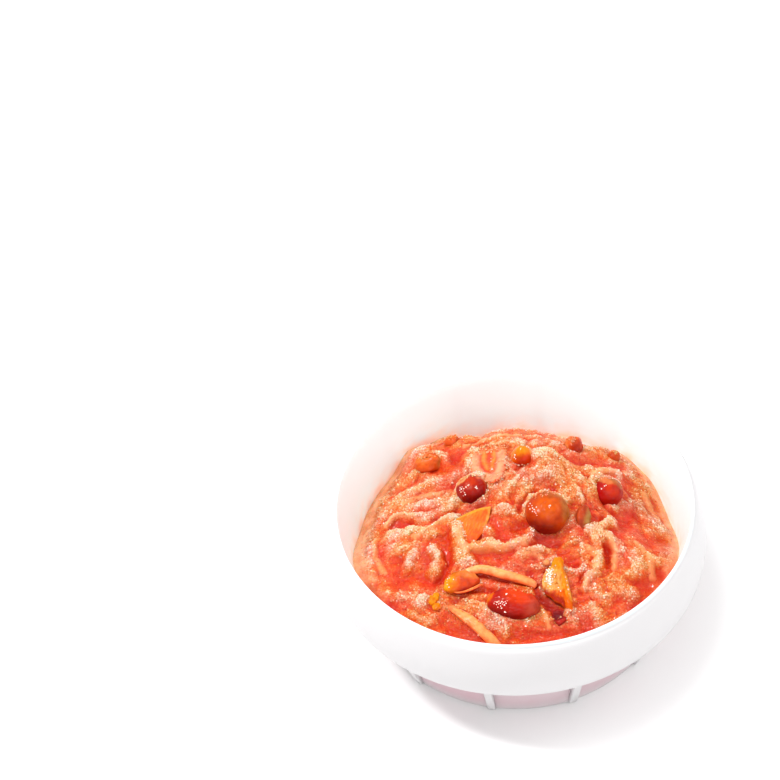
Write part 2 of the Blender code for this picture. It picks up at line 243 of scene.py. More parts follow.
def sparkle_normal(tree, scale, amount):
    """Normals of small wet faces that look up at random: some of them catch the light."""
    link = tree.links.new
    coord = tree.nodes.new("ShaderNodeTexCoord")
    cells = node(tree, "ShaderNodeTexVoronoi", Scale=scale)
    link(coord.outputs["Object"], cells.inputs["Vector"])
    geo = tree.nodes.new("ShaderNodeNewGeometry")
    half = tree.nodes.new("ShaderNodeVectorMath")
    half.operation = 'SCALE'
    link(geo.outputs["Normal"], half.inputs[0])
    half.inputs["Scale"].default_value = 0.45
    grow = tree.nodes.new("ShaderNodeVectorMath")
    grow.operation = 'MULTIPLY_ADD'
    link(cells.outputs["Color"], grow.inputs[0])
    grow.inputs[1].default_value = (amount, amount, amount)
    grow.inputs[2].default_value = (-0.5 * amount, -0.5 * amount, 0.55 - 0.5 * amount)
    total = tree.nodes.new("ShaderNodeVectorMath")
    total.operation = 'ADD'
    link(half.outputs[0], total.inputs[0])
    link(grow.outputs[0], total.inputs[1])
    unit_ = tree.nodes.new("ShaderNodeVectorMath")
    unit_.operation = 'NORMALIZE'
    link(total.outputs[0], unit_.inputs[0])
    return unit_.outputs[0]


def color_mix(tree, share, a, b):
    mix = tree.nodes.new("ShaderNodeMix")
    mix.data_type = 'RGBA'
    for socket, value in ((0, share), (6, a), (7, b)):
        if isinstance(value, (int, float)):
            mix.inputs[socket].default_value = value
        elif isinstance(value, tuple):
            mix.inputs[socket].default_value = (*value, 1.0)
        else:
            tree.links.new(value, mix.inputs[socket])
    return mix.outputs[2]


def paste_material(name, warm, pink, rough, coat, coat_rough, sss, sss_scale, bump):
    """Roe paste: deep tones are red, high tones pale and grainy; the tone and the painted_glow and painted_shade
    attributes also carry painted light and shade.
    """
    mat, tree, bsdf = shader_base(name)
    link = tree.links.new
    tone = node(tree, "ShaderNodeAttribute", attribute_name="tone")
    coord = tree.nodes.new("ShaderNodeTexCoord")
    mottle = node(tree, "ShaderNodeTexNoise", Scale=520.0, Detail=3.0)
    fine = node(tree, "ShaderNodeTexNoise", Scale=2100.0 if bump else 2500.0, Detail=1.5)
    slow = node(tree, "ShaderNodeTexNoise", Scale=130.0, Detail=2.0)
    for n in (mottle, fine, slow):
        link(coord.outputs["Object"], n.inputs["Vector"])
    a = math_node(tree, 'MULTIPLY', math_node(tree, 'SUBTRACT', mottle.outputs[0], 0.5), 0.34)
    b = math_node(tree, 'MULTIPLY', math_node(tree, 'SUBTRACT', fine.outputs[0], 0.5), 1.7 if bump else 0.5)
    b = math_node(tree, 'MULTIPLY', b, math_node(tree, 'ADD', math_node(tree, 'MULTIPLY', tone.outputs["Fac"], 0.65), 0.20))
    cream = node(tree, "ShaderNodeAttribute", attribute_name="cream")
    b = math_node(tree, 'MULTIPLY', b, math_node(tree, 'SUBTRACT', 1.0, cream.outputs["Fac"]))
    # painted shade: the paste between the grains is painted a little deeper in colour than the grains, which darkens
    # the gaps between them
    t = math_node(tree, 'ADD', math_node(tree, 'MULTIPLY', tone.outputs["Fac"], 0.90 if bump else 1.0), a)
    if not bump:
        # painted light and shade: a grain is painted paler where it faces up and deeper on its sides. This stands in
        # for the shade where it meets its neighbours
        geo = tree.nodes.new("ShaderNodeNewGeometry")
        split = tree.nodes.new("ShaderNodeSeparateXYZ")
        link(geo.outputs["Normal"], split.inputs[0])
        t = math_node(tree, 'ADD', t, math_node(tree, 'MULTIPLY', math_node(tree, 'SUBTRACT', split.outputs[2], 0.66), 0.24))
    t = math_node(tree, 'ADD', t, b, clamp=True)
    ramp_w, ramp_p = ramp_node(tree, warm), ramp_node(tree, pink)
    link(t, ramp_w.inputs[0])
    link(t, ramp_p.inputs[0])
    hue = math_node(tree, 'MULTIPLY', math_node(tree, 'SUBTRACT', slow.outputs[0], 0.42), 4.5, clamp=True)
    col = color_mix(tree, hue, ramp_w.outputs[0], ramp_p.outputs[0])
    col = color_mix(tree, math_node(tree, 'MULTIPLY', cream.outputs["Fac"], 0.75), col, (0.72, 0.30, 0.115))
    # painted light: a brighter orange painted beside the wall, where the wall shades the paste
    painted_glow = node(tree, "ShaderNodeAttribute", attribute_name="painted_glow")
    col = color_mix(tree, painted_glow.outputs["Fac"], col, (0.98, 0.44, 0.23))
    # painted shade: deep red under and beside the mushrooms
    painted_shade = node(tree, "ShaderNodeAttribute", attribute_name="painted_shade")
    col = color_mix(tree, painted_shade.outputs["Fac"], col, (0.30, 0.012, 0.008))
    link(col, bsdf.inputs["Base Color"])
    rr = math_node(tree, 'MULTIPLY', fine.outputs[0], 0.22)
    rr = math_node(tree, 'ADD', rr, rough - 0.1, clamp=True)
    link(rr, bsdf.inputs["Roughness"])
    bsdf.inputs["Coat Weight"].default_value = coat
    bsdf.inputs["Coat Roughness"].default_value = coat_rough
    bsdf.inputs["Coat IOR"].default_value = 1.50 if not bump else 1.38
    sparkle = cell_normal(tree, 2300.0, 1.0) if bump else sparkle_normal(tree, 1700.0, 1.0)
    link(sparkle, bsdf.inputs["Coat Normal"])
    bsdf.inputs["IOR"].default_value = 1.4
    bsdf.inputs["Specular IOR Level"].default_value = 0.12
    bsdf.inputs["Subsurface Weight"].default_value = sss
    bsdf.inputs["Subsurface Radius"].default_value = (1.0, 0.22, 0.12)
    bsdf.inputs["Subsurface Scale"].default_value = sss_scale
    if bump:
        cells = node(tree, "ShaderNodeTexVoronoi", Scale=1750.0, feature='SMOOTH_F1')
        cells.inputs["Smoothness"].default_value = 0.25
        link(coord.outputs["Object"], cells.inputs["Vector"])
        round_ = math_node(tree, 'MULTIPLY', cells.outputs["Distance"], -1.0)
        amount = math_node(tree, 'MULTIPLY', round_, math_node(tree, 'ADD', math_node(tree, 'MULTIPLY', t, 0.7), 0.25))
        both = math_node(tree, 'ADD', amount, math_node(tree, 'MULTIPLY', fine.outputs[0], 0.35))
        bmp = node(tree, "ShaderNodeBump", Strength=bump, Distance=0.0004)
        link(both, bmp.inputs["Height"])
        link(bmp.outputs[0], bsdf.inputs["Normal"])
    return mat


WARM_STOPS = (
    (0.00, (0.470, 0.019, 0.001)),
    (0.25, (0.515, 0.054, 0.004)),
    (0.50, (0.578, 0.122, 0.018)),
    (0.75, (0.655, 0.258, 0.098)),
    (1.00, (0.735, 0.445, 0.285)),
)
PINK_STOPS = (
    (0.00, (0.470, 0.017, 0.005)),
    (0.25, (0.515, 0.047, 0.013)),
    (0.50, (0.578, 0.104, 0.040)),
    (0.75, (0.655, 0.248, 0.155)),
    (1.00, (0.735, 0.440, 0.355)),
)
EGG_WARM = (
    (0.00, (0.480, 0.023, 0.001)),
    (0.25, (0.535, 0.066, 0.006)),
    (0.50, (0.605, 0.149, 0.028)),
    (0.75, (0.670, 0.298, 0.118)),
    (1.00, (0.760, 0.500, 0.335)),
)
EGG_PINK = (
    (0.00, (0.480, 0.023, 0.006)),
    (0.25, (0.535, 0.058, 0.021)),
    (0.50, (0.605, 0.132, 0.058)),
    (0.75, (0.670, 0.278, 0.178)),
    (1.00, (0.760, 0.485, 0.385)),
)


def plastic_material():
    mat, tree, bsdf = shader_base("cup_plastic")
    link = tree.links.new
    tint = node(tree, "ShaderNodeAttribute", attribute_name="tint")
    coord = tree.nodes.new("ShaderNodeTexCoord")
    cloud = node(tree, "ShaderNodeTexNoise", Scale=60.0, Detail=2.0)
    link(coord.outputs["Object"], cloud.inputs["Vector"])
    veil = ramp_node(tree, ((0.3, (0.985, 0.985, 0.985)), (0.7, (1.0, 1.0, 1.0))))
    link(cloud.outputs[0], veil.inputs[0])
    mix = tree.nodes.new("ShaderNodeMix")
    mix.data_type = 'RGBA'
    mix.blend_type = 'MULTIPLY'
    mix.inputs[0].default_value = 1.0
    link(tint.outputs["Color"], mix.inputs[6])
    link(veil.outputs[0], mix.inputs[7])
    link(mix.outputs[2], bsdf.inputs["Base Color"])
    grain = node(tree, "ShaderNodeTexNoise", Scale=1400.0, Detail=2.0)
    link(coord.outputs["Object"], grain.inputs["Vector"])
    rough = math_node(tree, 'MULTIPLY', grain.outputs[0], 0.12)
    rough = math_node(tree, 'ADD', rough, 0.26)
    link(rough, bsdf.inputs["Roughness"])
    bmp = node(tree, "ShaderNodeBump", Strength=0.06, Distance=0.0002)
    link(grain.outputs[0], bmp.inputs["Height"])
    link(bmp.outputs[0], bsdf.inputs["Normal"])
    bsdf.inputs["IOR"].default_value = 1.49
    bsdf.inputs["Specular IOR Level"].default_value = 0.25
    bsdf.inputs["Subsurface Weight"].default_value = 0.3
    bsdf.inputs["Subsurface Radius"].default_value = (1.0, 1.0, 1.0)
    bsdf.inputs["Subsurface Scale"].default_value = 0.0012
    return mat


def skin_material(name, sss=0.4, rough=0.3, coat=0.5, coat_rough=0.04, bump=0.25, shake=0.42):
    """Slippery mushroom skin under a wrinkled wet film; colour comes from the piece."""
    mat, tree, bsdf = shader_base(name)
    link = tree.links.new
    tint = node(tree, "ShaderNodeAttribute", attribute_name="tint")
    coord = tree.nodes.new("ShaderNodeTexCoord")
    blotch = node(tree, "ShaderNodeTexNoise", Scale=620.0, Detail=3.0)
    fibre = node(tree, "ShaderNodeTexNoise", Scale=2600.0, Detail=2.0)
    link(coord.outputs["Object"], blotch.inputs["Vector"])
    link(coord.outputs["Object"], fibre.inputs["Vector"])
    # random lighter and darker blotches of the skin's own colour
    blotch_tint = ramp_node(tree, ((0.30, (0.78, 0.66, 0.60)), (0.52, (1.0, 1.0, 1.0)), (0.75, (1.08, 1.14, 1.10))))
    link(blotch.outputs[0], blotch_tint.inputs[0])
    mix = tree.nodes.new("ShaderNodeMix")
    mix.data_type = 'RGBA'
    mix.blend_type = 'MULTIPLY'
    mix.inputs[0].default_value = 1.0
    link(tint.outputs["Color"], mix.inputs[6])
    link(blotch_tint.outputs[0], mix.inputs[7])
    link(mix.outputs[2], bsdf.inputs["Base Color"])
    rr = math_node(tree, 'MULTIPLY', fibre.outputs[0], 0.25)
    rr = math_node(tree, 'ADD', rr, rough - 0.1)
    link(rr, bsdf.inputs["Roughness"])
    bmp = node(tree, "ShaderNodeBump", Strength=bump, Distance=0.00025)
    both = math_node(tree, 'ADD', math_node(tree, 'MULTIPLY', fibre.outputs[0], 0.4), blotch.outputs[0])
    link(both, bmp.inputs["Height"])
    link(bmp.outputs[0], bsdf.inputs["Normal"])
    bsdf.inputs["Coat Weight"].default_value = coat
    bsdf.inputs["Coat Roughness"].default_value = coat_rough
    bsdf.inputs["Coat IOR"].default_value = 1.28
    link(cell_normal(tree, 1500.0, shake), bsdf.inputs["Coat Normal"])
    bsdf.inputs["IOR"].default_value = 1.42
    bsdf.inputs["Specular IOR Level"].default_value = 0.04
    bsdf.inputs["Subsurface Weight"].default_value = sss
    bsdf.inputs["Subsurface Radius"].default_value = (1.0, 0.30, 0.10)
    bsdf.inputs["Subsurface Scale"].default_value = 0.0010
    return mat


def drop_material():
    """Clear brine standing in small drops, painted milky near-white: partly roe clouding it, partly a painted glint."""
    mat, tree, bsdf = shader_base("brine")
    coord = tree.nodes.new("ShaderNodeTexCoord")
    cloud = node(tree, "ShaderNodeTexNoise", Scale=1500.0, Detail=2.0)
    tree.links.new(coord.outputs["Object"], cloud.inputs["Vector"])
    milky_glint_tint = ramp_node(tree, ((0.40, (0.86, 0.50, 0.36)), (0.60, (0.95, 0.88, 0.82))))
    tree.links.new(cloud.outputs[0], milky_glint_tint.inputs[0])
    tree.links.new(milky_glint_tint.outputs[0], bsdf.inputs["Base Color"])
    tree.links.new(math_node(tree, 'MULTIPLY', cloud.outputs[0], 0.25), bsdf.inputs["Roughness"])
    bsdf.inputs["Coat Weight"].default_value = 1.0
    bsdf.inputs["Coat Roughness"].default_value = 0.05
    bsdf.inputs["Coat IOR"].default_value = 1.5
    bsdf.inputs["IOR"].default_value = 1.45
    bsdf.inputs["Specular IOR Level"].default_value = 0.5
    return mat


mat_cup = plastic_material()
mat_paste = paste_material("roe_paste_core", WARM_STOPS, PINK_STOPS, 0.42, 0.45, 0.10, 0.75, 0.0015, 0.7)
mat_drop = drop_material()
mat_eggs = paste_material("roe_eggs", EGG_WARM, EGG_PINK, 0.35, 0.42, 0.05, 0.8, 0.0011, 0.0)
mat_skin = skin_material("mushroom_skin")
mat_flesh = skin_material("mushroom_flesh", sss=0.45, rough=0.35, coat=0.8, coat_rough=0.05, bump=0.3, shake=0.6)


# ================================================================ camera, floor, light
cam_data = bpy.data.cameras.new("camera")
cam = bpy.data.objects.new("camera", cam_data)
scene.collection.objects.link(cam)
scene.camera = cam
right = Vector((0.99719258, 0.01570528, -0.07321407))
up = Vector((0.03950667, 0.72024728, 0.69259157))
ahead = Vector((-0.06360959, 0.69353962, -0.71760478))
cam.matrix_world = Matrix((
    (right.x, up.x, -ahead.x, 0.0),
    (right.y, up.y, -ahead.y, -0.305824),
    (right.z, up.z, -ahead.z, 0.393916),
    (0, 0, 0, 1)))
cam_data.sensor_width = 36.0
cam_data.lens = 1860.0 / 780.0 * 36.0
cam_data.clip_start, cam_data.clip_end = 0.01, 20.0

bpy.ops.mesh.primitive_plane_add(size=6.0, location=(0, 0, -0.00002))
floor = bpy.context.object
floor.name = "floor"
mat_floor, tree, bsdf = shader_base("floor_paper")
bsdf.inputs["Base Color"].default_value = (0.80, 0.80, 0.80, 1)
bsdf.inputs["Roughness"].default_value = 0.7
floor.data.materials.append(mat_floor)

world = bpy.data.worlds.new("studio")
world.use_nodes = True
world.node_tree.nodes["Background"].inputs[0].default_value = (1.0, 1.0, 1.0, 1)
world.node_tree.nodes["Background"].inputs[1].default_value = 0.93
scene.world = world


def area(name, at, aim, size, power, color=(1, 1, 1)):
    data = bpy.data.lights.new(name, 'AREA')
    data.energy = power
    data.size = size
    data.color = color
    obj = bpy.data.objects.new(name, data)
    scene.collection.objects.link(obj)
    obj.location = at
    obj.rotation_euler = (Vector(aim) - Vector(at)).to_track_quat('-Z', 'Y').to_euler()
    return obj


area("key", (-0.41, 0.06, 0.62), (0, 0, 0.02), 0.10, 3.2)
area("top", (-0.22, 0.08, 0.85), (0, 0, 0.02), 0.30, 2.6)
area("front", (0.16, -0.62, 0.62), (0, 0, 0.02), 0.50, 2.1)
area("fill", (0.50, 0.02, 0.54), (0, 0, 0.03), 0.45, 1.5)

scene.view_settings.view_transform = 'Standard'
scene.view_settings.look = 'None'
scene.view_settings.exposure = 0.0
scene.cycles.use_denoising = True


# ================================================================ cup
def wall_in(z):
    return WALL_IN_R0 + WALL_IN_SLOPE * z


def wall_out(z):
    return FOOT_R + WALL_OUT_SLOPE * z


def skirt_r(t):
    return SHOULDER_R + (SKIRT_MAX_R - SHOULDER_R) * math.sin(t * math.pi / 2.0) ** 0.93


def cup_profile():
    fz = FLOOR_Z + FLOOR_FILLET
    corner = wall_in(fz)
    pts = [(0.0, FLOOR_Z), (12.0, FLOOR_Z), (24.0, FLOOR_Z), (corner - FLOOR_FILLET, FLOOR_Z)]
    for k in range(1, 6):
        a = math.radians(15.0 * k)
        pts.append((corner - FLOOR_FILLET * (1.0 - math.sin(a)), fz - FLOOR_FILLET * math.cos(a)))
    for k in range(49):
        z = fz + (LIP_Z - 0.45 - fz) * k / 48.0
        pts.append((wall_in(z), z))
    # lip bead: a small round edge
    inner, outer = wall_in(LIP_Z), LIP_OUT_R
    mid, half = (inner + outer) / 2.0, (outer - inner) / 2.0
    for k in range(0, 9):
        a = math.pi - math.pi * k / 8.0
        pts.append((mid + half * math.cos(a), LIP_Z - 0.03 + 0.33 * math.sin(a)))
    pts.append((LIP_OUT_R + 0.02, LIP_Z - 0.35))
    pts.append((LIP_OUT_R + 0.22, LIP_Z - 0.72))
    pts.append((SHOULDER_R - 0.28, SHOULDER_Z + 0.18))
    pts.append((SHOULDER_R, SHOULDER_Z - 0.1))
    for k in range(1, 12):
        t = k / 12.0
        pts.append((skirt_r(t), SHOULDER_Z + (SKIRT_MAX_Z - SHOULDER_Z) * t))
    pts.append((SKIRT_MAX_R, SKIRT_MAX_Z))
    pts.append((SKIRT_MAX_R - 0.04, SKIRT_MAX_Z - 2.0))
    # lower edge of the skirt, rounded
    for k in range(0, 7):
        a = -math.pi * k / 6.0
        pts.append((SKIRT_END_R - SKIRT_T / 2 + SKIRT_T / 2 * math.cos(a),
                    SKIRT_END_Z + 0.42 + 0.42 * math.sin(a)))
    for k in range(8, 0, -1):
        t = k / 8.0
        pts.append((skirt_r(t) - SKIRT_T, SHOULDER_Z - 0.4 + (SKIRT_MAX_Z - SHOULDER_Z + 0.4) * t))
    pts.append((wall_out(SKIRT_ROOT_Z) + 0.15, SKIRT_ROOT_Z))
    for k in range(10):
        z = SKIRT_ROOT_Z - 1.3 + (0.9 - SKIRT_ROOT_Z + 1.3) * k / 9.0
        pts.append((wall_out(z), z))
    for k in range(1, 5):
        a = math.radians(22.5 * k)
        pts.append((FOOT_R - 0.65 + 0.75 * math.cos(a), 0.75 - 0.75 * math.sin(a)))
    pts.append((36.3, 0.0))
    pts.append((36.05, 0.12))
    pts.append((36.0, 0.7))
    pts.append((35.85, 0.8))
    pts.append((18.0, 0.8))
    pts.append((0.0, 0.8))
    return np.array(pts)


def edge_z(angle):
    side = smooth((102.0 - np.abs(angle)) / 34.0)
    back = smooth((np.abs(angle) - 120.0) / 45.0)
    edge = EDGE_Z_SIDE + (EDGE_Z_FRONT - EDGE_Z_SIDE) * side - (EDGE_Z_SIDE - EDGE_Z_BACK) * back
    for at, half, height in EDGE_WAVES:
        off = np.abs((angle - at + 180.0) % 360.0 - 180.0)
        edge = edge + height * np.exp(-(off / half) ** 2)
    return edge


def make_cup():
    prof = cup_profile()
    seg = 224
    ang = np.arange(seg) * 2 * math.pi / seg
    inner = prof[1:-1]
    verts = np.stack([inner[:, 0][:, None] * np.cos(ang), inner[:, 0][:, None] * np.sin(ang),
                      np.repeat(inner[:, 1][:, None], seg, 1)], -1).reshape(-1, 3)
    quads = grid_faces(len(inner), seg)
    quads = quads[:, ::-1]
    n = len(verts)
    verts = np.concatenate([verts, [[0, 0, prof[0, 1]], [0, 0, prof[-1, 1]]]])
    j = np.arange(seg)
    jn = (j + 1) % seg
    top = np.stack([np.full(seg, n), j, jn], -1)
    base = (len(inner) - 1) * seg
    bottom = np.stack([np.full(seg, n + 1), base + jn, base + j], -1)
    all_faces = [quads, np.concatenate([top, bottom])]
    # ribs: plates with rounded outer edges
    outline = np.array(((wall_in(0.3) + 0.9, 0.3), (RIB_FOOT_R - 0.3, 0.3), (RIB_FOOT_R, 0.7),
                        (40.5, 3.4), (RIB_KNEE_R, RIB_KNEE_Z), (42.8, 10.5), (44.3, 15.5),
                        (RIB_TOP_R, SKIRT_END_Z), (46.6, 23.5), (SKIRT_MAX_R - SKIRT_T - 0.05, SKIRT_MAX_Z + 2.6),
                        (wall_out(31.6) + 1.7, 31.6), (wall_in(31.9) + 0.5, 31.9)))
    # cross-wise layers give the plate a soft edge
    layers = ((-1.0, 0.34), (-0.86, 0.10), (-0.5, 0.0), (0.5, 0.0), (0.86, 0.10), (1.0, 0.34))
    ribs_v, ribs_f = [], []
    count = len(verts)
    m = len(outline)
    centre = outline.mean(0)
    for k in range(RIB_COUNT):
        a = math.radians(RIB_FIRST + 360.0 / RIB_COUNT * k) - math.pi / 2.0
        ca, sa = math.cos(a), math.sin(a)
        start = count
        for side, inset in layers:
            for r, z in outline:
                v = np.array([r, z]) - centre
                rr, zz = centre + v * (1.0 - inset / max(6.0, np.linalg.norm(v)))
                y = side * RIB_T / 2.0
                ribs_v.append((rr * ca - y * sa, rr * sa + y * ca, zz))
        faces = grid_faces(len(layers), m, True, start)
        ribs_f.append(faces)
        count += m * len(layers)
        ribs_v.append((centre[0] * ca + RIB_T / 2 * sa, centre[0] * sa - RIB_T / 2 * ca, centre[1]))
        ribs_v.append((centre[0] * ca - RIB_T / 2 * sa, centre[0] * sa + RIB_T / 2 * ca, centre[1]))
        j = np.arange(m)
        jn = (j + 1) % m
        all_faces.append(np.stack([np.full(m, count), start + jn, start + j], -1))
        last = start + m * (len(layers) - 1)
        all_faces.append(np.stack([np.full(m, count + 1), last + j, last + jn], -1))
        count += 2
    verts = np.concatenate([verts, np.array(ribs_v)])
    all_faces.append(np.concatenate(ribs_f))
    cup = new_mesh("cup_shell", verts, all_faces, mat_cup)
    bm = bmesh.new()
    bm.from_mesh(cup.data)
    bmesh.ops.recalc_face_normals(bm, faces=bm.faces)
    bm.to_mesh(cup.data)
    bm.free()
    # white, with a grey-pink below the skirt: partly the filling faintly showing through the single wall there, and
    # partly painted shade under the skirt's overhang
    r = np.hypot(verts[:, 0], verts[:, 1])
    z = verts[:, 2]
    white = np.array(srgb(201, 199, 200))
    inside = smooth((wall_in(z) + 0.3 - r) / 0.2) * (z > 2.0)
    # the food throws warm light on the wall next to it; a cooler white there keeps the wall white
    near = inside[:, None]
    low = smooth((36.0 - z) / 16.0)[:, None]
    cool = np.array(srgb(237, 251, 255)) * (1 - low) + np.array(srgb(224, 250, 255)) * low
    white = white[None] * (1 - near) + cool * near
    # a thin smear of the filling on the wall just above it
    above = z - edge_z(np.degrees(np.arctan2(verts[:, 0], -verts[:, 1])))
    patch = fbm(verts[:, 0] * 0.25, verts[:, 1] * 0.25, z * 0.4)
    smear = inside * np.clip(np.exp(-np.clip(above, 0, 99) / 2.2) * (0.70 + 1.1 * patch), 0, 0.80) * (above > -4)
    white = white * (1 - smear[:, None]) + np.array(srgb(252, 206, 176)) * smear[:, None]
    # painted counter to reflected light: the lip is painted a cooler white, most at the front, to cancel the warm light
    # the food throws on it
    top = (smooth((z - 35.0) / 0.5) * (1.0 - 0.85 * smooth((verts[:, 1] + 22.0) / 24.0)))[:, None]
    white = white * (1 - top) + np.array(srgb(212, 219, 222)) * top
    blush_and_skirt_shade = np.array(srgb(194, 160, 168))
    outside = smooth((r - wall_in(z) - 0.4) / 0.2) * smooth((30.0 - z) / 10.0) * (r < wall_out(z) + 0.35)
    low = smooth((z + 1.0) / 4.0)
    blot = 0.75 + 0.5 * fbm(verts[:, 0] * 0.09, verts[:, 1] * 0.09, z * 0.09)
    share = (outside * low * np.clip(blot, 0.6, 1))[:, None]
    set_color(cup, white * (1 - share) + blush_and_skirt_shade * share)
    return ride(cup, "white_plastic", "cup")


make_cup()


# ================================================================ heap surface
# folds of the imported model: start, end, half width, height
FOLDS = (
    (9.0, 13.0, -3.0, 1.0, 4.0, 1.0),
    (10.0, 12.0, 18.0, 2.0, 3.4, 1.0),
    (18.0, 2.0, 25.0, -4.0, 3.0, 1.0),
    (-33.0, 5.0, -16.0, 4.0, 3.0, 1.2),
    (-31.0, -3.0, -16.0, -3.0, 3.0, 1.1),
    (-35.0, 11.0, -19.0, 15.0, 3.6, 1.2),
    (-13.0, -13.5, 5.0, -12.0, 2.6, 0.9),
    (-15.0, -6.0, -13.0, -15.0, 2.6, 0.8),
    (16.0, -9.0, 22.0, -17.0, 3.0, 0.8),
    (30.0, -6.0, 27.0, -18.0, 3.0, 0.8),
    (22.0, 14.0, 34.0, 14.0, 3.0, 1.0),
    (-24.0, 27.0, -11.0, 32.0, 3.0, 1.2),
)

# ridges of packed roe: line, half width, height, how pale and grainy
RIDGES = (
    (((6.6, 13.4), (9, 14.4), (12, 13.3), (19.5, 12.2)), 1.9, 1.3, 0.95),
    (((-4.6, 12.6), (-1.6, 14.4)), 1.3, 0.7, 0.8),
    (((-3, 7), (4, 8), (12, 8.5)), 3.6, 0.6, 0.80),
    (((2.0, 1.5), (4.5, 5.8), (9, 8), (13, 6), (15, 2.5)), 1.4, 0.9, 1.0),
    (((13, 12), (17, 9), (19.5, 5), (22, 1.5), (25, -2), (24.5, -4.6), (21, -6.6)), 1.3, 1.5, 0.95),
    (((14.5, 9), (16.5, 5), (17.3, 1.5)), 1.0, 0.8, 0.9),
    (((-4, -1), (0, -1.8), (3, -3.4)), 1.1, 0.7, 0.9),
    (((-10, -11), (-5, -12), (0, -12), (4, -10), (4.5, -7.6)), 1.4, 0.9, 0.8),
    (((5.5, -14), (2, -14.6), (0, -17), (-3, -18)), 1.5, 0.9, 0.85),
    (((-15, -2), (-14.2, -6), (-14, -10), (-13, -14), (-12, -16.4)), 1.7, 1.1, 0.95),
    (((-22, -6), (-18, -3.8), (-15, -2)), 1.4, 1.1, 1.0),
    (((-31.5, -2), (-28, -3.4), (-24, -4)), 2.2, 0.9, 0.9),
    (((-31, -8), (-27, -8.5)), 1.8, 0.5, 0.7),
    (((-33, 2.8), (-31, 4.8), (-27, 3.8), (-23.6, 2.2)), 0.9, 1.1, 0.8),
    (((-28, 6.2), (-24, 6.5), (-19, 5.2), (-15, 4.2)), 1.8, 1.1, 0.95),
    (((-23, 1.0), (-18, 2.0), (-14, 2.8)), 1.6, 0.8, 0.85),
    (((-35, 8), (-29, 10), (-22, 12.4), (-16.6, 14)), 3.4, 0.8, 0.75),
    (((-20, 9), (-16.4, 7.4)), 1.7, 0.7, 0.95),
    (((-38, 5), (-37, -4), (-38, -12)), 1.6, 0.6, 0.65),
    (((-26, -11.6), (-27.2, -14.6)), 1.4, 0.9, 0.9),
    (((-20.4, -10.6), (-19, -14), (-20.4, -16.4)), 1.5, 1.2, 1.0),
    (((-29, -23), (-26, -24)), 1.8, 0.7, 0.65),
    (((-24, -25), (-25, -28), (-22, -30.4)), 1.7, 0.9, 0.85),
    (((-13, -27), (-9, -28.4), (-6.6, -30.6)), 1.6, 0.6, 0.8),
    (((-5.4, -32.6), (-3, -34.6)), 1.4, 0.9, 0.9),
    (((19, -8), (22, -9), (25, -11), (26.6, -15), (28.6, -19)), 1.5, 1.0, 0.85),
    (((20.4, -10), (21, -15), (19.8, -18), (16.6, -23)), 1.1, 1.0, 1.0),
    (((12, -18.6), (15.6, -19), (18, -17.4)), 0.9, 0.8, 0.9),
    (((16.8, -11.6), (18, -15), (17, -18)), 1.1, 0.6, 0.95),
    (((30, -13.4), (31.4, -18)), 1.9, 0.6, 0.75),
    (((33.6, -13.6), (38, -15)), 1.4, 0.5, 0.8),
    (((24, -21.6), (27.4, -24)), 1.8, 0.7, 0.85),
    (((18.6, -22.4), (21.4, -26)), 1.8, 0.5, 0.7),
    (((12.8, -29.4), (13.6, -33)), 1.4, 0.8, 0.9),
    (((18, -28.6), (20.4, -32)), 1.7, 0.7, 0.85),
    (((31.4, 6.6), (35.6, 3.4), (38, -2)), 1.9, 0.7, 0.85),
    (((27.4, 14.2), (31, 11), (33.4, 7)), 1.4, 0.8, 0.8),
    (((20.8, 10.6), (23, 13.4), (27.4, 14.6)), 0.9, 0.9, 0.9),
    (((-9.6, 21), (-12, 18), (-11.4, 13.6)), 1.5, 1.1, 0.8),
    (((-4, 23), (0, 24), (2.6, 21.6)), 1.9, 1.1, 0.8),
    (((-30, 21), (-26, 27)), 2.2, 1.0, 0.55),
    (((6, 21), (9, 23), (11.6, 21)), 2.0, 1.0, 0.55),
    (((-35, 14), (-30, 18), (-24, 19)), 1.8, 0.8, 0.7),
    (((-10, 30), (-2, 31), (6, 30)), 2.2, 0.8, 0.6),
    (((20, 24), (24, 27)), 2.0, 0.8, 0.6),
    (((33, 20), (36, 14)), 1.8, 0.6, 0.6),
    (((3.6, -2.3), (4.5, 0.8), (6.3, 2.1), (8.9, 2.8), (11.4, 2.4), (13.1, 0.7)), 1.2, 1.3, 0.9),
    (((-8.4, -31.6), (-6.2, -33.2)), 1.1, 0.7, 0.8),
    (((-14.8, 6.6), (-13.6, 9.6), (-10.6, 10.9), (-7.4, 9.8)), 1.0, 1.5, 0.95),
    (((21.2, 9.6), (23.4, 11.2), (26.4, 10.8), (28.4, 8.4)), 0.9, 1.3, 0.9),
    (((-13.5, 3.8), (-11.0, 2.6), (-7.9, 2.7), (-6.6, 4.9)), 1.0, 1.0, 0.7),
    (((20.5, 2.8), (22.7, 1.0), (25.9, 3.3)), 1.0, 0.9, 0.6),
    (((20.8, 10), (20.3, 6.6), (20.8, 3.4)), 1.1, 1.5, 0.9),
    (((-41, -2), (-40, 6), (-38, 12)), 1.2, 0.3, 0.7),
    (((-5, 34), (3, 35), (11, 33)), 1.7, 0.9, 0.7),
    (((13, 27), (17, 29.4), (20.6, 33)), 1.4, 0.9, 0.75),
    (((-25, 24), (-21.4, 30), (-17, 34)), 1.6, 0.8, 0.65),
    (((28, 28), (31.4, 23), (30.6, 17)), 1.3, 0.8, 0.7),
    (((-7, 26), (0, 27.4), (7.6, 26)), 1.2, 0.8, 0.8),
    (((-12, 38), (-6, 40)), 1.8, 0.6, 0.6),
    (((10, 39), (18, 37)), 1.6, 0.6, 0.6),
    (((41, -2), (40, 6), (38.5, 12)), 1.2, 0.3, 0.5),
)

